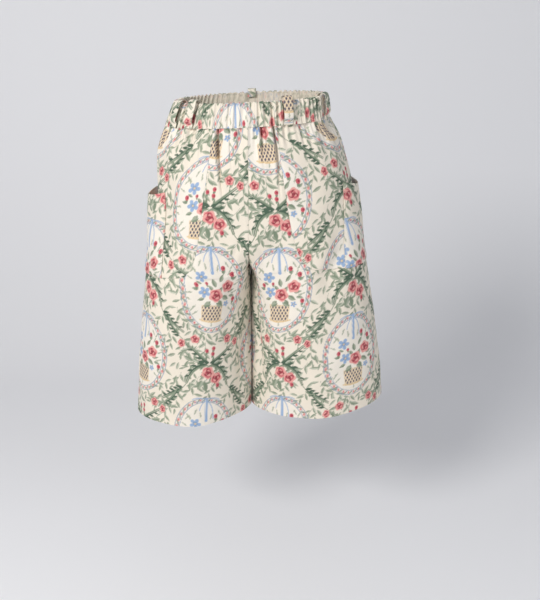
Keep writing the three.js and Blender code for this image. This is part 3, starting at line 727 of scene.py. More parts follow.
def crossing(paper, x, y):
    """Where two scrolls cross, over a pair of roses."""
    here = np.array([x, y])
    for stem in CROSSING_STEMS:
        stroke(paper, bend(*stem) + here, 1.6, LEAF)
    for arm in CROSSING_ARMS:
        scroll(paper, bend(arm.start, arm.over, arm.end, arm.points) + here, arm.side, arm.size)
    for dx, dy, angle, length, width, tone in CROSSING_LEAVES:
        leaf(paper, x + dx, y + dy, angle, length, width, tone, shade=LEAF)
    for dx, dy, radius, squeeze in CROSSING_ROSES:
        rose(paper, x + dx, y + dy, radius, squeeze, turn=dx)
    for dx, dy, radius in ((-5, 34, 4), (9, 40, 4), (8, 27, 4), (24, -48, 4.2)):
        bud(paper, x + dx, y + dy, radius)


FOLIAGE_SEED, SPRAYS, LOOSE_LEAVES = 7, 260, 500
SPRAY_ROOM, LEAF_ROOM = 18, 11
SPRAY_CLEAR_OF_OVAL, LEAF_CLEAR_OF_OVAL, CLEAR_OF_SCROLL = 15, 12, 13


def bare(x, y, room):
    """Whether a place lies outside every oval by room mm."""
    wide, high = OVAL_HALF_WIDTH + room, OVAL_HALF_HEIGHT + room
    rings = [(x, y - DROP), (x, y + DROP), (abs(x) - COLUMN_STEP, y)]
    return all(np.hypot(dx / wide, dy / high) > 1 for dx, dy in rings)


def foliage(paper):
    """Hanging sprays and loose leaves in the ground, each with some room to itself."""
    chance = np.random.default_rng(FOLIAGE_SEED)
    taken = np.empty((0, 2))
    for k in range(SPRAYS + LOOSE_LEAVES):
        x, y = chance.uniform(-80, 80), chance.uniform(-170, 170)
        lean, size, tone = chance.normal(0, 30), chance.uniform(0.85, 1.2), chance.integers(0, 3)
        colour, is_spray = (MIST, SAGE, SAGE)[tone], k < SPRAYS
        long = (44 if is_spray else 20) * size
        middle = (x, y - 0.5 * long)
        away = np.abs(middle - taken)
        away[:, 0] = np.minimum(away[:, 0], 2 * COLUMN_STEP - away[:, 0])
        on_scroll = abs(abs(middle[0]) - 0.94 * abs(abs(middle[1]) % DROP)) < CLEAR_OF_SCROLL
        if on_scroll or not bare(*middle, SPRAY_CLEAR_OF_OVAL if is_spray else LEAF_CLEAR_OF_OVAL):
            continue
        room = SPRAY_ROOM if is_spray else LEAF_ROOM
        if len(taken) and np.hypot(away[:, 0], away[:, 1] * 0.62).min() < room:
            continue
        taken = np.vstack([taken, middle])
        if is_spray:
            spray(paper, x, y, 270 + lean, long, colour, lean)
        else:
            leaf(paper, *middle, 270 + 2 * lean, long, 6.2 * size, colour, shade=LEAF, strength=0.9)


def printed(x, y):
    """The print's colours at flat places x and y."""
    paper = Paper(x, y)
    foliage(paper)
    crossing(paper, 0, 0)
    basket_oval(paper, 0, -DROP)
    return paper.finished()


sample = np.meshgrid(np.arange(0, 2 * COLUMN_STEP, 4.0), np.arange(0, REPEAT, 4.0))
print("mean colour of the print:", printed(*(axis.ravel() for axis in sample)).mean(axis=0).round(3))

# %% [markdown]
# ## A shell of cloth
# Real cloth has two faces and an edge, so every piece here is a closed shell: the face with its print, the
# paler back, and a narrow wall round the edge. Solidify could give that wall, but here the face and the back
# each have their own grid, so a hem can be thicker than the cloth above it. Where two pieces were cut along a
# curve, such as the hip seam, the grid's cells are cut back to that curve instead of being bent to it. The
# back needs no print, so whole blocks of four cells become one there.


# %% Shell from two grids of points
AROUND_BLOCK = [(0, 0), (0, 1), (0, 2), (1, 2), (2, 2), (2, 1), (2, 0), (1, 0)]


def cut_cells(keep, skip=None):
    """Faces of a grid where keep is above 0, and the new corners (one, other, share) that the cut needs."""
    rows, columns = keep.shape
    index = np.arange(rows * columns).reshape(rows, columns)
    square = [index[:-1, :-1], index[:-1, 1:], index[1:, 1:], index[1:, :-1]]
    corners = np.stack(square, axis=-1).reshape(-1, 4)
    if skip is not None:
        corners = corners[~skip.ravel()]
    inside = keep.ravel()[corners] > 0
    faces = corners[inside.all(axis=1)].tolist()
    new, number = [], {}
    for cell in corners[inside.any(axis=1) & ~inside.all(axis=1)]:
        face = []
        for k in range(4):
            here, after = int(cell[k]), int(cell[(k + 1) % 4])
            v0, v1 = keep.flat[here], keep.flat[after]
            if v0 > 0:
                face.append(here)
            if (v0 > 0) != (v1 > 0):
                edge = (min(here, after), max(here, after))
                if edge not in number:
                    low, high = keep.flat[edge[0]], keep.flat[edge[1]]
                    number[edge] = rows * columns + len(new)
                    new.append((*edge, low / (low - high)))
                face.append(number[edge])
        faces.append(face)
    return faces, new


def coarse_cells(keep):
    """The same faces with every whole block of four as one, for the back of the cloth."""
    rows, columns = keep.shape
    index = np.arange(rows * columns).reshape(rows, columns)
    blocks = [index[i:rows - 2 + i:2, j:columns - 2 + j:2] for i, j in AROUND_BLOCK]
    inside = keep > 0
    whole = np.ones(blocks[0].shape, bool)
    for i in range(3):
        for j in range(3):
            whole &= inside[i:rows - 2 + i:2, j:columns - 2 + j:2]
    padded = np.pad(whole, 1)
    beside = [padded[:-2, 1:-1], padded[1:-1, 2:], padded[2:, 1:-1], padded[1:-1, :-2]]
    faces = []
    for i, j in zip(*np.nonzero(whole)):
        face = []
        for side in range(4):
            face.append(int(blocks[2 * side][i, j]))
            if not beside[side][i, j]:
                face.append(int(blocks[2 * side + 1][i, j]))
        faces.append(face)
    cells = np.repeat(np.repeat(whole, 2, axis=0), 2, axis=1)
    return faces, cells


def with_corners(values, new):
    """Values of a grid's points, and of the new corners between them."""
    flat = values.reshape(-1, values.shape[-1])
    if not new:
        return flat
    one, other, share = (np.array(column) for column in zip(*new))
    return np.vstack([flat, mix(flat[one], flat[other], share[:, None])])


def volume(points, faces):
    """A number above 0 when the faces of a closed shell point outwards."""
    a = points[[f[0] for f in faces]]
    b, c = points[[f[1] for f in faces]], points[[f[2] for f in faces]]
    return np.einsum("ij,ij->i", a, np.cross(b, c)).sum()


WRONG_SIDE = 0.62


def cloth_shell(name, face, back, colour, flat, keep=None):
    """A closed shell from grids of points: face and back in mm, the print's colours and flat places."""
    keep = np.ones(face.shape[:2]) if keep is None else keep
    faces, new = cut_cells(keep)
    blocks, covered = coarse_cells(keep)
    behind = blocks + cut_cells(keep, skip=covered)[0]
    face, back, colour, flat = (with_corners(values, new) for values in (face, back, colour, flat))
    edges = {}
    for f in faces:
        for a, b in zip(f, f[1:] + f[:1]):
            if edges.pop((b, a), None) is None:
                edges[(a, b)] = True
    count = len(face)
    walls = [[b, a, a + count, b + count] for a, b in edges]
    every = faces + [[v + count for v in reversed(f)] for f in behind] + walls
    used = np.unique(np.concatenate([np.array(f) for f in every]))
    renumber = np.full(2 * count, -1)
    renumber[used] = np.arange(len(used))
    every = [renumber[f].tolist() for f in every]
    points = np.vstack([face, back])[used] * MM
    shade = np.ones((2 * count, 4))
    shade[:count, :3], shade[count:, :3] = colour, mix(colour, CREAM, WRONG_SIDE)
    shade, uv = shade[used], np.vstack([flat, flat])[used] * MM
    if volume(points, every) < 0:
        every = [f[::-1] for f in every]
    mesh = bpy.data.meshes.new(name)
    mesh.from_pydata(points, [], every)
    mesh.color_attributes.new("print", "FLOAT_COLOR", "POINT").data.foreach_set("color", shade.ravel())
    corner = np.empty(len(mesh.loops), dtype=np.int32)
    mesh.loops.foreach_get("vertex_index", corner)
    mesh.uv_layers.new(name="flat cloth").data.foreach_set("uv", uv[corner].ravel())
    mesh.shade_smooth()
    mesh.set_sharp_from_angle(angle=np.radians(60))
    piece = bpy.data.objects.new(name, mesh)
    bpy.context.scene.collection.objects.link(piece)
    triangles = sum(len(f) - 2 for f in every)
    area = sum(p.area for p in mesh.polygons) / 2
    print(f"{name}: {triangles} triangles, {area:.3f} square metres of cloth")
    return piece


# %% [markdown]
# ## Printed cotton, as a material
# The print comes from the colour attribute. The finish of glazed cotton is a soft sheen with a broad
# highlight, so roughness stays fairly high. The weave is two crossed sets of fine threads, read from the
# flat cloth's own UV map, so it bends with the folds. Slubs and a faint unevenness of the dye keep it from
# looking like plastic.

# %% Cloth and thread materials
THREAD_PITCH = 0.0007
WAVE_PERIOD = 0.314159
GLAZE = {"Roughness": 0.68, "Specular IOR Level": 0.32, "Sheen Weight": 0.12, "Sheen Roughness": 0.45}


def set_inputs(made, values):
    for name, value in values.items():
        made.inputs[name].default_value = value


def node(tree, kind, where, values=None, **settings):
    """A new node at a place in the editor, with values for its inputs and its own settings."""
    made = tree.nodes.new(kind)
    made.location = where
    for name, value in settings.items():
        setattr(made, name, value)
    set_inputs(made, values or {})
    return made


def printed_cotton():
    """Glazed cotton that takes its colours from the print and its weave from the flat cloth."""
    material = bpy.data.materials.new("printed cotton")
    material.use_nodes = True
    tree = material.node_tree
    shader = tree.nodes["Principled BSDF"]
    set_inputs(shader, GLAZE)
    cloth = node(tree, "ShaderNodeAttribute", (-900, 200), attribute_name="print")
    places = node(tree, "ShaderNodeUVMap", (-1300, -200), uv_map="flat cloth")
    dye = node(tree, "ShaderNodeTexNoise", (-900, -60), {"Scale": 34, "Detail": 5})
    slub = node(tree, "ShaderNodeTexNoise", (-900, -300), {"Scale": 420, "Detail": 3})
    tone = node(tree, "ShaderNodeMapRange", (-700, -60), {"To Min": 0.93, "To Max": 1.05})
    grain = node(tree, "ShaderNodeMapRange", (-700, -300), {"To Min": 0.95, "To Max": 1.04})
    both = node(tree, "ShaderNodeMath", (-520, -140), operation="MULTIPLY")
    shaded = node(tree, "ShaderNodeVectorMath", (-340, 160), operation="SCALE")
    weave = node(tree, "ShaderNodeMath", (-620, -640), operation="ADD")
    bump = node(tree, "ShaderNodeBump", (-340, -400), {"Strength": 0.35, "Distance": 0.0001})
    soft = node(tree, "ShaderNodeBump", (-340, -640), {"Strength": 0.35, "Distance": 0.0012})
    link = tree.links.new
    link(places.outputs["UV"], dye.inputs["Vector"])
    link(places.outputs["UV"], slub.inputs["Vector"])
    link(dye.outputs["Fac"], tone.inputs["Value"])
    link(slub.outputs["Fac"], grain.inputs["Value"])
    link(tone.outputs["Result"], both.inputs[0])
    link(grain.outputs["Result"], both.inputs[1])
    link(cloth.outputs["Color"], shaded.inputs[0])
    link(both.outputs["Value"], shaded.inputs["Scale"])
    link(shaded.outputs["Vector"], shader.inputs["Base Color"])
    for k, direction in enumerate(("X", "Y")):
        size = {"Scale": WAVE_PERIOD / THREAD_PITCH, "Distortion": 0.4}
        threads = node(tree, "ShaderNodeTexWave", (-900, -560 - 300 * k), size, bands_direction=direction)
        link(places.outputs["UV"], threads.inputs["Vector"])
        link(threads.outputs["Fac"], weave.inputs[k])
    link(weave.outputs["Value"], bump.inputs["Height"])
    link(dye.outputs["Fac"], soft.inputs["Height"])
    link(soft.outputs["Normal"], bump.inputs["Normal"])
    link(bump.outputs["Normal"], shader.inputs["Normal"])
    return material


def cotton_thread():
    """Cream sewing thread, lighter and darker along its twist."""
    material = bpy.data.materials.new("cream cotton thread")
    material.use_nodes = True
    tree = material.node_tree
    shader = tree.nodes["Principled BSDF"]
    set_inputs(shader, {"Roughness": 0.6})
    places = node(tree, "ShaderNodeTexCoord", (-900, 0))
    twist = node(tree, "ShaderNodeTexNoise", (-700, 0), {"Scale": 900})
    tones = node(tree, "ShaderNodeValToRGB", (-450, 0))
    tones.color_ramp.elements[0].color = (*paint(206, 196, 174), 1)
    tones.color_ramp.elements[1].color = (*paint(240, 234, 218), 1)
    tree.links.new(places.outputs["Object"], twist.inputs["Vector"])
    tree.links.new(twist.outputs["Fac"], tones.inputs["Fac"])
    tree.links.new(tones.outputs["Color"], shader.inputs["Base Color"])
    return material


COTTON, THREAD = printed_cotton(), cotton_thread()
print("materials:", COTTON.name, "and", THREAD.name)


def add_cloth(name, face, back, flat, keep=None):
    """Printed cloth over the solid called name, from grids of points and of their flat places, all in mm."""
    colour = printed(flat[..., 0].ravel(), flat[..., 1].ravel()).reshape(*flat.shape[:2], 3)
    piece = cloth_shell(name + "_cloth", standing(face), standing(back), colour, flat, keep)
    piece.data.materials.append(COTTON)
    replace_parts(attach(piece, "root"), name)


# %% [markdown]
# ## The leg panels and the hip pieces
# Each piece is cut from its own place in the cloth, and `Cut` says where: its axis is how far from the centre
# seam the middle of a column of ovals runs, and oval is the height of one oval's middle. The other four let
# the print bend as it does on a worn garment. Lift raises it towards the side seam, drift moves it towards
# the centre near the waist, sink lowers it there, and lean moves it outwards below the oval.
#
# A hip piece comes from another place than its front, so its ovals sit half a drop away. That jump in the
# print is what makes the curved hip seam visible. Below the fork the two inseams touch and lean over one
# another, as loose cloth does, so nothing shows between the legs.

# %% Where each piece was cut from the cloth
Cut = namedtuple("Cut", "axis oval lift drift sink lean")
CUTS = {
    "front_left": Cut(61, -358, 26, 20, 4, 6),
    "front_right": Cut(77, -350, 42, 0, 0, 24),
    "hip_left": Cut(58, -164, 0, 0, 0, 0),
    "hip_right": Cut(104, -166, 0, 20, 0, 0),
    "back_left": Cut(84, -330, 20, 6, 10, 0),
    "back_right": Cut(84, -330, 20, 0, 6, 0),
}
COLUMNS, ROW_PITCH = {1: 222, -1: 178}, {1: 1.5, -1: 1.96}
WALL, HEM_WALL = 1.1, 2.0
SEAM_DIP, SEAM_WIDTH = 0.9, 3.2
CASING_SEAM_DIP, HEM_DIP, HEM_DIP_WIDTH = 0.45, 0.45, 2.2
LEG_MIDDLE = 10.0


def beyond_hip_seam(panel, grid):
    """Distance in mm of each point of a plain grid beyond the hip seam, towards the side."""
    start = panel.side * grid[..., 0] - read_table(HIP_SEAMS[panel.name], "from", grid[..., 2])
    steps = [np.maximum(np.linalg.norm(np.gradient(grid, axis=k), axis=2), 1e-6) for k in (0, 1)]
    slope = np.hypot(np.gradient(start, axis=0) / steps[0], np.gradient(start, axis=1) / steps[1])
    return start / np.maximum(slope, 1e-3)


def groove(distance, depth, width=SEAM_WIDTH):
    """How far a line of stitches draws the cloth in, at a distance from it."""
    return depth * np.exp(-((distance / width) ** 2))


def leaned_together(panel, face, across, fall):
    """The face with its inner rows moved to touch the other leg below the fork, and to lean with it."""
    inner = smooth((across - 0.8) / 0.12) * smooth((FORK_SIDE + 12 - fall) / 30)
    closest = np.min(panel.side * face[..., 0], axis=1, keepdims=True)
    moved = face.copy()
    moved[..., 0] -= panel.side * inner * (closest - LEGS_TOUCH)
    moved[..., 0] += LEGS_LEAN * inner * np.tanh((INSEAM_SET_BACK - face[..., 1]) / 20)
    return moved


def panel_grids(panel):
    """Everything that the pieces of one panel share."""
    rows = round((PANEL_TOP - HEM) / ROW_PITCH[panel.face] / 2) * 2
    across = np.linspace(0, 1, COLUMNS[panel.face] + 1)
    across, fall = np.meshgrid(across, np.linspace(PANEL_TOP - HALF_SEAM, HEM, rows + 1))
    plain = plain_point(panel, across, fall)
    lengths = row_lengths(plain)
    width = lengths[:, -1:]
    relief = fold_relief(panel, lengths / width, plain[..., 2], width)
    relief = relief - groove(lengths, SEAM_DIP) - groove(width - lengths, SEAM_DIP)
    relief = relief - groove(plain[..., 2] - PANEL_TOP, CASING_SEAM_DIP)
    relief = relief - groove(fall - HEM - HEM_DEPTH, HEM_DIP, HEM_DIP_WIDTH)
    seam = None
    if panel.face > 0:
        seam = beyond_hip_seam(panel, plain)
        relief = relief - groove(seam, SEAM_DIP)
    middle = (plain[..., 0].mean(), LEG_MIDDLE)
    face = leaned_together(panel, plain + grid_normals(plain, middle) * relief[..., None], across, fall)
    return {"across": across, "fall": fall, "plain": plain, "face": face, "seam": seam, "middle": middle}


def pin_edges(panel, points, plain, fall, on_face):
    """The seam edges stay in their planes, so neighbours meet 0.3 mm apart."""
    points[0, :, 2], points[-1, :, 2] = plain[0, :, 2], plain[-1, :, 2]
    points[:, 0, 1] = -panel.face * HALF_SEAM
    legs = fall[:, -1] <= FORK_SIDE
    points[legs, -1, 1] = INSEAM_SET_BACK - panel.face * HALF_SEAM
    inset = HALF_SEAM if on_face else np.maximum(HALF_SEAM, panel.side * points[~legs, -1, 0])
    points[~legs, -1, 0] = panel.side * inset
    return points


def flat_places(panel, grids, cut, lengths):
    """Where each point lay on the flat cloth, from the scrolls' crossing on its cut's axis."""
    plain, fall = grids["plain"], grids["fall"]
    inner = row_lengths(plain, from_last=True)
    at_axis = np.array([np.interp(cut.axis, np.abs(p[::-1, 0]), arc[::-1]) for p, arc in zip(plain, inner)])
    near_waist = smooth((fall - FORK_TOP) / (PANEL_TOP - FORK_TOP) + 0.25)
    below_oval = np.clip((cut.oval - fall) / (cut.oval - HEM), 0, 1)
    outward = lengths - at_axis[:, None] + cut.drift * near_waist - cut.lean * below_oval
    at_side = smooth(way_out(grids["across"])) * np.clip((PANEL_TOP - fall) / (PANEL_TOP - HEM), 0, 1)
    up = plain[..., 2] - cut.lift * at_side + cut.sink * near_waist - cut.oval - DROP
    return np.stack([panel.face * panel.side * outward, up], axis=-1)


panel_shapes = {}


def add_panel(panel):
    """A back panel, or a front panel and its hip piece on either side of the hip seam."""
    grids = panel_grids(panel)
    panel_shapes[panel.name] = grids
    wall = mix(WALL, HEM_WALL, smooth((HEM + HEM_DEPTH + 4 - grids["fall"]) / 6))
    normal = grid_normals(grids["face"], grids["middle"])
    face = pin_edges(panel, grids["face"].copy(), grids["plain"], grids["fall"], True)
    back = pin_edges(panel, face - normal * wall[..., None], grids["plain"], grids["fall"], False)
    lengths = row_lengths(grids["face"], from_last=True)
    keeps = {panel.name: None}
    if panel.face > 0:
        keeps = {panel.name: -grids["seam"] - HALF_SEAM}
        keeps[panel.name.replace("front", "hip")] = grids["seam"] - HALF_SEAM
    for name, keep in keeps.items():
        add_cloth(name, face, back, flat_places(panel, grids, CUTS[name], lengths), keep)


for panel in PANELS:
    add_panel(panel)

# %% [markdown]
# ## The elastic casing
# The top of the cloth is turned over a wide elastic, which draws it up into close gathers. Each gather is a
# ridge: round on top, pinched between. They crimp the upper edge most, so the crests stand a little higher
# there. A strip this dense is a profile swept round the waist, with the wave added to each ring.

# %% Casing
CASING_WALL, CASING_EDGE_LIFT = 4.2, 1.3
CASING_COLUMNS, CASING_ROWS = CASING_GATHERS * 18, 23
SMALL_GATHERS = 193
CASING_PROFILE = {
    "up": [0, 0.06, 0.18, 0.3, 0.45, 0.6, 0.74, 0.86, 0.94, 0.985, 1.0],
    "out": [-0.3, 0.2, 0.6, 0.9, 1.1, 1.2, 1.1, 0.8, 0.3, -0.5, -1.6],
    "gather": [1.0, 0.95, 0.9, 0.9, 0.95, 0.95, 0.95, 1.0, 1.1, 1.1, 1.0],
}
CASING_CUT = {"x": 35, "y": 108, "stretch": 1.42}


def casing_point(turn, z, out):
    """A point out mm off the casing's smooth oval."""
    across, deep = oval_across(turn), np.sign(np.sin(turn)) * np.abs(np.sin(turn)) ** (2 / HIP_SQUARENESS)
    half = np.where(across >= 0, read_table(GIRTH, "left", z), read_table(GIRTH, "right", z))
    depth = np.where(deep >= 0, read_table(GIRTH, "front", z), read_table(GIRTH, "back", z))
    normal = np.stack([np.cos(turn) / half, -np.sin(turn) / depth], axis=-1)
    normal /= np.linalg.norm(normal, axis=-1, keepdims=True)
    x, y = across * half + normal[..., 0] * out, -deep * depth + normal[..., 1] * out
    return np.stack([x, y, z + 0 * x], axis=-1)


def gathered(share):
    """The height of the casing's gathers: rounder on top than between, with small ones riding on them."""
    wave = gather_wave(share, CASING_GATHERS)
    turn = share * np.pi * 2
    small = 0.22 * np.cos(turn * SMALL_GATHERS + 2.2 * np.sin(turn * 5))
    return 1.15 - 2.6 * np.clip(0.5 - 0.5 * wave, 0, 1.1) ** 2.2 + small


def add_casing():
    """The gathered strip, from its seam with the panels up to its crimped edge."""
    share = np.linspace(0, 1, CASING_COLUMNS + 1)
    corners = np.linspace(0, 1, len(CASING_PROFILE["up"]))
    up = np.interp(np.linspace(0, 1, CASING_ROWS), corners, CASING_PROFILE["up"])
    out = np.interp(up, CASING_PROFILE["up"], CASING_PROFILE["out"])
    gather = np.interp(up, CASING_PROFILE["up"], CASING_PROFILE["gather"])
    turn, height = np.meshgrid(share * np.pi * 2, up[::-1])
    wave = gathered(share)[None, :] + 0.25 * np.sin(turn * 37 + height * 5)
    z = mix(PANEL_TOP + HALF_SEAM, CASING_TOP, height)
    z = z + np.where(height > 0.8, (height - 0.8) / 0.2, 0) * wave * CASING_EDGE_LIFT
    out, gather = out[::-1, None], gather[::-1, None]
    face = casing_point(turn, z, out + wave * gather * CASING_GATHER_DEPTH)
    back = casing_point(turn, z - 0.8 * height, -CASING_WALL + 1.2 + 0.4 * wave * CASING_GATHER_DEPTH)
    lengths = row_lengths(casing_point(turn, z, 0 * z))
    start = lengths[:, CASING_COLUMNS // 4][:, None]
    x = (start - lengths) * CASING_CUT["stretch"] + CASING_CUT["x"]
    flat = np.stack([x, z - CASING_CUT["y"]], axis=-1)
    face[:, -1], back[:, -1] = face[:, 0], back[:, 0]
    add_cloth("waistband", face, back, flat)


add_casing()

# %% [markdown]
# ## Patch pockets
# A pocket lies on the leg at its three sewn edges. Its hemmed mouth is wider than the leg under it, so it
# stands off and sags, which is why its front corner breaks the outline. It is worked out from the leg's own
# surface and moved outwards.
#
# In the table, mouth and foot are heights, and front and back say how far the patch reaches from the side
# seam at both. Gape is how far the mouth stands off, sag how far it hangs, and the last two say where it was
# cut.

# %% Pockets
Pocket = namedtuple("Pocket", "side mouth foot front back gape sag axis crossing")
POCKETS = {
    "pocket_right": Pocket(-1, -152, -326, (64, 100), (76, 92), 17, 14, 198, -130),
    "pocket_left": Pocket(1, -150, -328, (66, 104), (72, 90), 9, 16, 195, -142),
}
POCKET_SEAT, POCKET_WALL = 0.8, 1.5
POCKET_GRID = (107, 127)
POCKET_WIDTH, POCKET_DEPTH, MOUTH_HEM = 170, 174, 20
CREASE_SOFTENING = 10


def leg_at(panel, reach, fall):
    """The folded surface of a leg where it is reach mm from the side seam."""
    grids = panel_shapes[panel.name]
    heights = grids["fall"][:, 0]
    arcs = row_lengths(grids["plain"])
    row = np.interp(-fall, -heights, np.arange(len(heights)))
    low = np.minimum(row.astype(int), len(heights) - 2)
    part = (row - low)[..., None]
    points = np.empty((*fall.shape, 3))
    for i, j in np.ndindex(fall.shape):
        ends = []
        for r in (low[i, j], low[i, j] + 1):
            column = np.interp(reach[i, j], arcs[r], np.arange(arcs.shape[1]))
            c = min(int(column), arcs.shape[1] - 2)
            ends.append(mix(grids["face"][r, c], grids["face"][r, c + 1], column - c))
        points[i, j] = mix(ends[0], ends[1], part[i, j])
    return points


def soften(grid, times):
    """Takes the finest creases out of a grid of points."""
    for _ in range(times):
        inner = (grid[:-2, 1:-1] + grid[2:, 1:-1] + grid[1:-1, :-2] + grid[1:-1, 2:]) / 4
        grid[1:-1, 1:-1] = mix(grid[1:-1, 1:-1], inner, 0.5)
    return grid


def add_pocket(name, pocket):
    """A patch over the side seam, from its back edge forward and from its mouth down. Gives back its face."""
    rows, columns = POCKET_GRID
    forward, down = np.meshgrid(np.linspace(0, 1, columns), np.linspace(0, 1, rows))
    bulge = np.sin(forward * np.pi) ** 1.2
    fall = mix(pocket.mouth - bulge * pocket.sag, pocket.foot, down)
    reach = mix(-mix(*pocket.back, down), mix(*pocket.front, down), forward)
    front, behind = [panel for panel in PANELS if panel.side == pocket.side]
    on_front = (reach > 0)[..., None]
    leg = np.where(on_front, leg_at(front, np.abs(reach), fall), leg_at(behind, np.abs(reach), fall))
    leg = soften(leg, CREASE_SOFTENING)
    normal = grid_normals(leg, panel_shapes[front.name]["middle"])
    belly = bulge * (1 - smooth(down / 0.85)) * pocket.gape
    edge = np.minimum(np.minimum(forward, 1 - forward), 1 - down) * POCKET_WIDTH
    puff = 1.1 * smooth(edge / 9) + 0.5 * np.sin(down * 9 + 5 * forward) * smooth(edge / 22)
    lift = (POCKET_SEAT + belly + puff - groove(down * POCKET_DEPTH - MOUTH_HEM, 0.5, 2.0))[..., None]
    back, face = leg + normal * lift, leg + normal * (lift + POCKET_WALL)
    lengths, halfway = row_lengths(leg), rows // 2
    off_axis = np.abs(np.abs(leg[halfway, :, 0]) - pocket.axis)
    at_axis = lengths[halfway][np.argmin(np.where(reach[halfway] < 0, np.inf, off_axis))]
    flat = np.stack([pocket.side * (at_axis - lengths), leg[..., 2] - pocket.crossing], axis=-1)
    add_cloth(name, face, back, flat)
    return face


pocket_faces = {name: add_pocket(name, pocket) for name, pocket in POCKETS.items()}

# %% [markdown]
# ## Belt loops
# A loop is a strip folded to 17 mm, sewn down at the foot of the casing and again behind its top edge. It
# stands off so that a belt fits under it. Few points describe its path, and cutting their corners twice makes
# it round. The angle is its place on the casing, from the wearer's left by way of the front, and the peak is
# how far it stands above the edge.

# %% Belt loops
Loop = namedtuple("Loop", "angle peak print_x print_y")
BELT_LOOPS = {
    "belt_loop_side_left": Loop(20, 6, 70, 60),
    "belt_loop_front_left": Loop(64, 8, 0, -236),
    "belt_loop_front_right": Loop(131, 7, -60, 62),
    "belt_loop_side_right": Loop(149, 6, 40, 20),
    "belt_loop_back": Loop(271, 6, 100, -100),
}
STRAP_WALL, STRAP_WIDTH, STRAP_SLACK, STRAP_FOOT, EDGE_ROLL = 1.5, 17, 8, 7, 0.5
STRAP_COLUMNS, STRAP_STEPS = 13, 73


def strap_line(peak):
    """The strap's middle line, seen along the casing: out from its oval, and height."""
    face = CASING_GATHER_DEPTH + 1.6 + STRAP_WALL / 2
    back = -CASING_WALL - CASING_GATHER_DEPTH * 0.6 - 0.3 - STRAP_WALL / 2
    far = face + STRAP_SLACK
    foot, over = PANEL_TOP + 1.5, CASING_TOP + CASING_EDGE_LIFT + peak
    points = np.array([
        (face, foot), (face, foot + STRAP_FOOT), (mix(face, far, 0.45), foot + STRAP_FOOT + 2.5),
        (far, foot + STRAP_FOOT + 7), (far, mix(foot, over, 0.5)), (far, over - 7),
        (mix(far, face, 0.4), over - 1.8), (mix(far, back, 0.5), over), (mix(back, face, 0.25), over - 1.8),
        (back, over - 6), (back, CASING_TOP - 3), (back, CASING_TOP - 3 - STRAP_FOOT),
    ])
    for _ in range(2):
        cut = np.repeat(points, 2, axis=0)
        cut[1:-1:2] = points[:-1] * 0.75 + points[1:] * 0.25
        cut[2::2] = points[:-1] * 0.25 + points[1:] * 0.75
        points = cut
    arc = np.r_[0, np.cumsum(np.linalg.norm(np.diff(points, axis=0), axis=1))]
    even = np.linspace(0, arc[-1], STRAP_STEPS)
    return np.stack([np.interp(even, arc, points[:, k]) for k in (0, 1)], axis=-1), even


def add_loop(name, loop):
    """A strap swept along its line, with rolled edges. Gives back its face."""
    line, arc = strap_line(loop.peak)
    way = np.gradient(line, axis=0)
    way /= np.linalg.norm(way, axis=1, keepdims=True)
    turn, step = np.radians(loop.angle), 0.01
    ends = casing_point(turn + np.array([0, step]), np.zeros(2), np.zeros(2))
    per_radian = np.linalg.norm(ends[1] - ends[0]) / step
    aside = np.linspace(-STRAP_WIDTH / 2, STRAP_WIDTH / 2, STRAP_COLUMNS)
    roll = EDGE_ROLL * (np.abs(aside) / (STRAP_WIDTH / 2)) ** 6
    grids = []
    for side in (-1, 1):
        off = side * (STRAP_WALL / 2 - roll)
        out, z = line[:, :1] - way[:, 1:] * off, line[:, 1:] + way[:, :1] * off
        turns = np.broadcast_to(turn + aside / per_radian, z.shape)
        grids.append(casing_point(turns, np.minimum(z, CASING_TOP), out))
        grids[-1][..., 2] = z
    flat = np.stack(np.broadcast_arrays(loop.print_x - aside, arc[:, None] - 30 + loop.print_y), axis=-1)
    add_cloth(name, *grids, flat)
    return grids[0]


loop_faces = {name: add_loop(name, loop) for name, loop in BELT_LOOPS.items()}

# %% [markdown]
# ## Topstitching
# A sewing machine leaves a row of short, slightly raised stitches, one for every 3 mm or so. An image could
# paint them, but only real ones catch the light along an edge. A Geometry Nodes tree suits that: it resamples
# a curve to the stitch pitch, puts one stretched bead on each point along the curve's direction and makes
# them real. The same tree sews every line, so its sizes are named inputs.

# %% Stitch tree
STITCH_PITCH, STITCH_LENGTH, STITCH_THICKNESS = 3.2, 2.4, 0.55


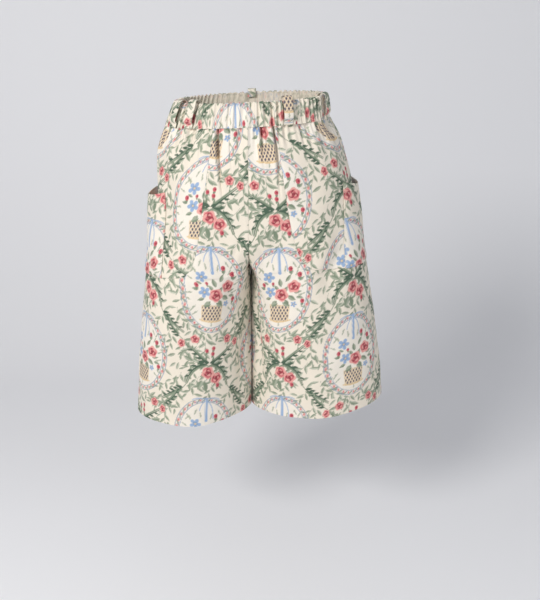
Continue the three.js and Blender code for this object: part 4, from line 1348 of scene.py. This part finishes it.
def stitch_tree():
    """A tree that turns each spline into a row of stitches."""
    tree = bpy.data.node_groups.new("row of stitches", "GeometryNodeTree")
    face = tree.interface
    face.new_socket("Geometry", in_out="INPUT", socket_type="NodeSocketGeometry")
    for name in ("Pitch", "Length", "Thickness"):
        face.new_socket(name, in_out="INPUT", socket_type="NodeSocketFloat")
    face.new_socket("Thread", in_out="INPUT", socket_type="NodeSocketMaterial")
    face.new_socket("Geometry", in_out="OUTPUT", socket_type="NodeSocketGeometry")
    enter = node(tree, "NodeGroupInput", (-900, 0))
    leave = node(tree, "NodeGroupOutput", (900, 0))
    evenly = node(tree, "GeometryNodeResampleCurve", (-600, 100), mode="LENGTH")
    points = node(tree, "GeometryNodeCurveToPoints", (-350, 100), mode="EVALUATED")
    bead = node(tree, "GeometryNodeMeshUVSphere", (-600, -250), {"Segments": 6, "Rings": 4, "Radius": 0.5})
    shape = node(tree, "ShaderNodeCombineXYZ", (-350, -350))
    stretched = node(tree, "GeometryNodeTransform", (-100, -250))
    placed = node(tree, "GeometryNodeInstanceOnPoints", (150, 50))
    real = node(tree, "GeometryNodeRealizeInstances", (400, 50))
    coloured = node(tree, "GeometryNodeSetMaterial", (650, 50))
    link = tree.links.new
    link(enter.outputs["Geometry"], evenly.inputs["Curve"])
    link(enter.outputs["Pitch"], evenly.inputs["Length"])
    link(evenly.outputs["Curve"], points.inputs["Curve"])
    link(enter.outputs["Thickness"], shape.inputs["X"])
    link(enter.outputs["Thickness"], shape.inputs["Y"])
    link(enter.outputs["Length"], shape.inputs["Z"])
    link(bead.outputs["Mesh"], stretched.inputs["Geometry"])
    link(shape.outputs["Vector"], stretched.inputs["Scale"])
    link(points.outputs["Points"], placed.inputs["Points"])
    link(stretched.outputs["Geometry"], placed.inputs["Instance"])
    link(points.outputs["Rotation"], placed.inputs["Rotation"])
    link(placed.outputs["Instances"], real.inputs["Geometry"])
    link(real.outputs["Geometry"], coloured.inputs["Geometry"])
    link(enter.outputs["Thread"], coloured.inputs["Material"])
    link(coloured.outputs["Geometry"], leave.inputs["Geometry"])
    return tree


STITCHES = stitch_tree()


def sew(name, lines):
    """Rows of stitches along lines of points in mm, on the piece called name."""
    curve = bpy.data.curves.new(name + "_stitches", "CURVE")
    curve.dimensions = "3D"
    for line in lines:
        spline = curve.splines.new("POLY")
        spline.points.add(len(line) - 1)
        spline.points.foreach_set("co", np.hstack([standing(line) * MM, np.ones((len(line), 1))]).ravel())
    rows = bpy.data.objects.new(name + "_stitches", curve)
    bpy.context.scene.collection.objects.link(rows)
    modifier = rows.modifiers.new("stitches", "NODES")
    modifier.node_group = STITCHES
    values = {"Pitch": STITCH_PITCH * MM, "Length": STITCH_LENGTH * MM, "Thickness": STITCH_THICKNESS * MM,
              "Thread": THREAD}
    for item in STITCHES.interface.items_tree:
        if item.in_out == "INPUT" and item.name in values:
            modifier[item.identifier] = values[item.name]
    evaluated = rows.evaluated_get(bpy.context.evaluated_depsgraph_get())
    mesh = bpy.data.meshes.new_from_object(evaluated)
    bpy.data.objects.remove(rows)
    made = bpy.data.objects.new(name + "_stitches", mesh)
    bpy.context.scene.collection.objects.link(made)
    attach(made, "root")
    print(f"{name}: {len(lines)} rows, {len(mesh.polygons)} faces of stitches")


# %% [markdown]
# ## Where it is stitched
# The leg hems have one row each. A pocket has one round its three sewn edges and one along the hem of its
# mouth, and each loop has two short bars at its foot. Every row stands a little proud of its cloth.

# %% Stitch lines
PROUD_OF_HEM, PROUD_OF_POCKET = 0.15, 0.1
POCKET_INSET, LOOP_BARS = 2, (2, 4)


def hem_line(grids):
    """The row above a panel's hem, from seam to seam."""
    row = int(np.argmin(np.abs(grids["fall"][:, 0] - HEM - HEM_DEPTH)))
    normals = grid_normals(grids["face"], grids["middle"])
    return (grids["face"] + normals * PROUD_OF_HEM)[row, 2:-2]


def pocket_lines(face):
    """Down one side of a pocket, along its foot and up the other, and along the hem of its mouth."""
    normals = grid_normals(face, (face[..., 0].mean() * 0.5, LEG_MIDDLE))
    proud = face + normals * PROUD_OF_POCKET
    inner = proud[POCKET_INSET:-POCKET_INSET, POCKET_INSET:-POCKET_INSET]
    mouth = round(len(face) * MOUTH_HEM / POCKET_DEPTH)
    return [np.vstack([inner[:, 0], inner[-1], inner[::-1, -1]]), proud[mouth, 1:-1]]


for panel in PANELS:
    sew(panel.name, [hem_line(panel_shapes[panel.name])])
for name, face in pocket_faces.items():
    sew(name, pocket_lines(face))
for name, face in loop_faces.items():
    sew(name, [face[row, 1:-1] for row in LOOP_BARS])

# %% [markdown]
# ## Stage, light and camera
# A plain pale sweep, a broad soft light from the front left and a weaker one from the right: even daylight
# that still shows the folds.

# %% Stage
FLOOR, BACK_WALL, SWEEP = -1.02, 1.6, 0.7
STAGE_FRONT, STAGE_TOP, STAGE_HALF = -3.2, 2.6, 3.5
AIM = (0, 0, -0.35)


def add_stage():
    """Floor and wall in one, with a round bend between them."""
    turn = np.linspace(0, np.pi / 2, 16)
    bend_y, bend_z = BACK_WALL - SWEEP + SWEEP * np.sin(turn), FLOOR + SWEEP - SWEEP * np.cos(turn)
    profile = [(STAGE_FRONT, FLOOR), *zip(bend_y, bend_z), (BACK_WALL, STAGE_TOP)]
    points = [(x, y, z) for y, z in profile for x in (-STAGE_HALF, STAGE_HALF)]
    faces = [(2 * k, 2 * k + 1, 2 * k + 3, 2 * k + 2) for k in range(len(profile) - 1)]
    mesh = bpy.data.meshes.new("sweep")
    mesh.from_pydata(points, [], faces)
    mesh.shade_smooth()
    sweep = bpy.data.objects.new("sweep", mesh)
    bpy.context.scene.collection.objects.link(sweep)
    material = bpy.data.materials.new("pale paper")
    material.use_nodes = True
    shader = material.node_tree.nodes["Principled BSDF"]
    set_inputs(shader, {"Base Color": (0.86, 0.86, 0.88, 1), "Roughness": 0.95})
    mesh.materials.append(material)


def add_light(name, where, size, power, tint):
    """A square lamp at a place, turned towards the middle of the garment."""
    data = bpy.data.lights.new(name, "AREA")
    data.size, data.energy, data.color = size, power, tint
    lamp = bpy.data.objects.new(name, data)
    bpy.context.scene.collection.objects.link(lamp)
    lamp.location = where
    x, y, z = np.array(AIM) - np.array(where)
    lamp.rotation_euler = (np.arctan2(np.hypot(x, y), -z), 0, np.arctan2(-x, y))


add_stage()
add_light("window", (-1.4, -2.0, 1.1), 0.9, 56, (1.0, 0.985, 0.96))
add_light("fill", (1.9, -1.6, 0.4), 1.6, 13, (0.96, 0.98, 1.0))
world = bpy.data.worlds.new("room")
world.use_nodes = True
set_inputs(world.node_tree.nodes["Background"], {"Color": (0.86, 0.88, 0.92, 1), "Strength": 0.40})
bpy.context.scene.world = world
bpy.context.scene.view_settings.view_transform = "Standard"
print(f"stage: floor at {FLOOR} m, wall at {BACK_WALL} m")

# %% [markdown]
# ## Camera
# The camera stands a little above the waist and looks down, so the rim shows as a narrow oval and the hems
# curve. Its focal length is given in pixels of a picture 600 high, and turned into mm for a 24 mm sensor.

# %% Camera
CAMERA_PLACE, CAMERA_PITCH = (0.042, -1.80, 0.20), 71.4
PICTURE_HEIGHT, FOCAL = 600, 880
eye = bpy.data.cameras.new("camera")
eye.sensor_fit, eye.sensor_height = "VERTICAL", 24
eye.lens = eye.sensor_height * FOCAL / PICTURE_HEIGHT
camera = bpy.data.objects.new("camera", eye)
bpy.context.scene.collection.objects.link(camera)
camera.location = CAMERA_PLACE
camera.rotation_euler = (np.radians(CAMERA_PITCH), 0, 0)
bpy.context.scene.camera = camera
print(f"lens: {eye.lens:.1f} mm")
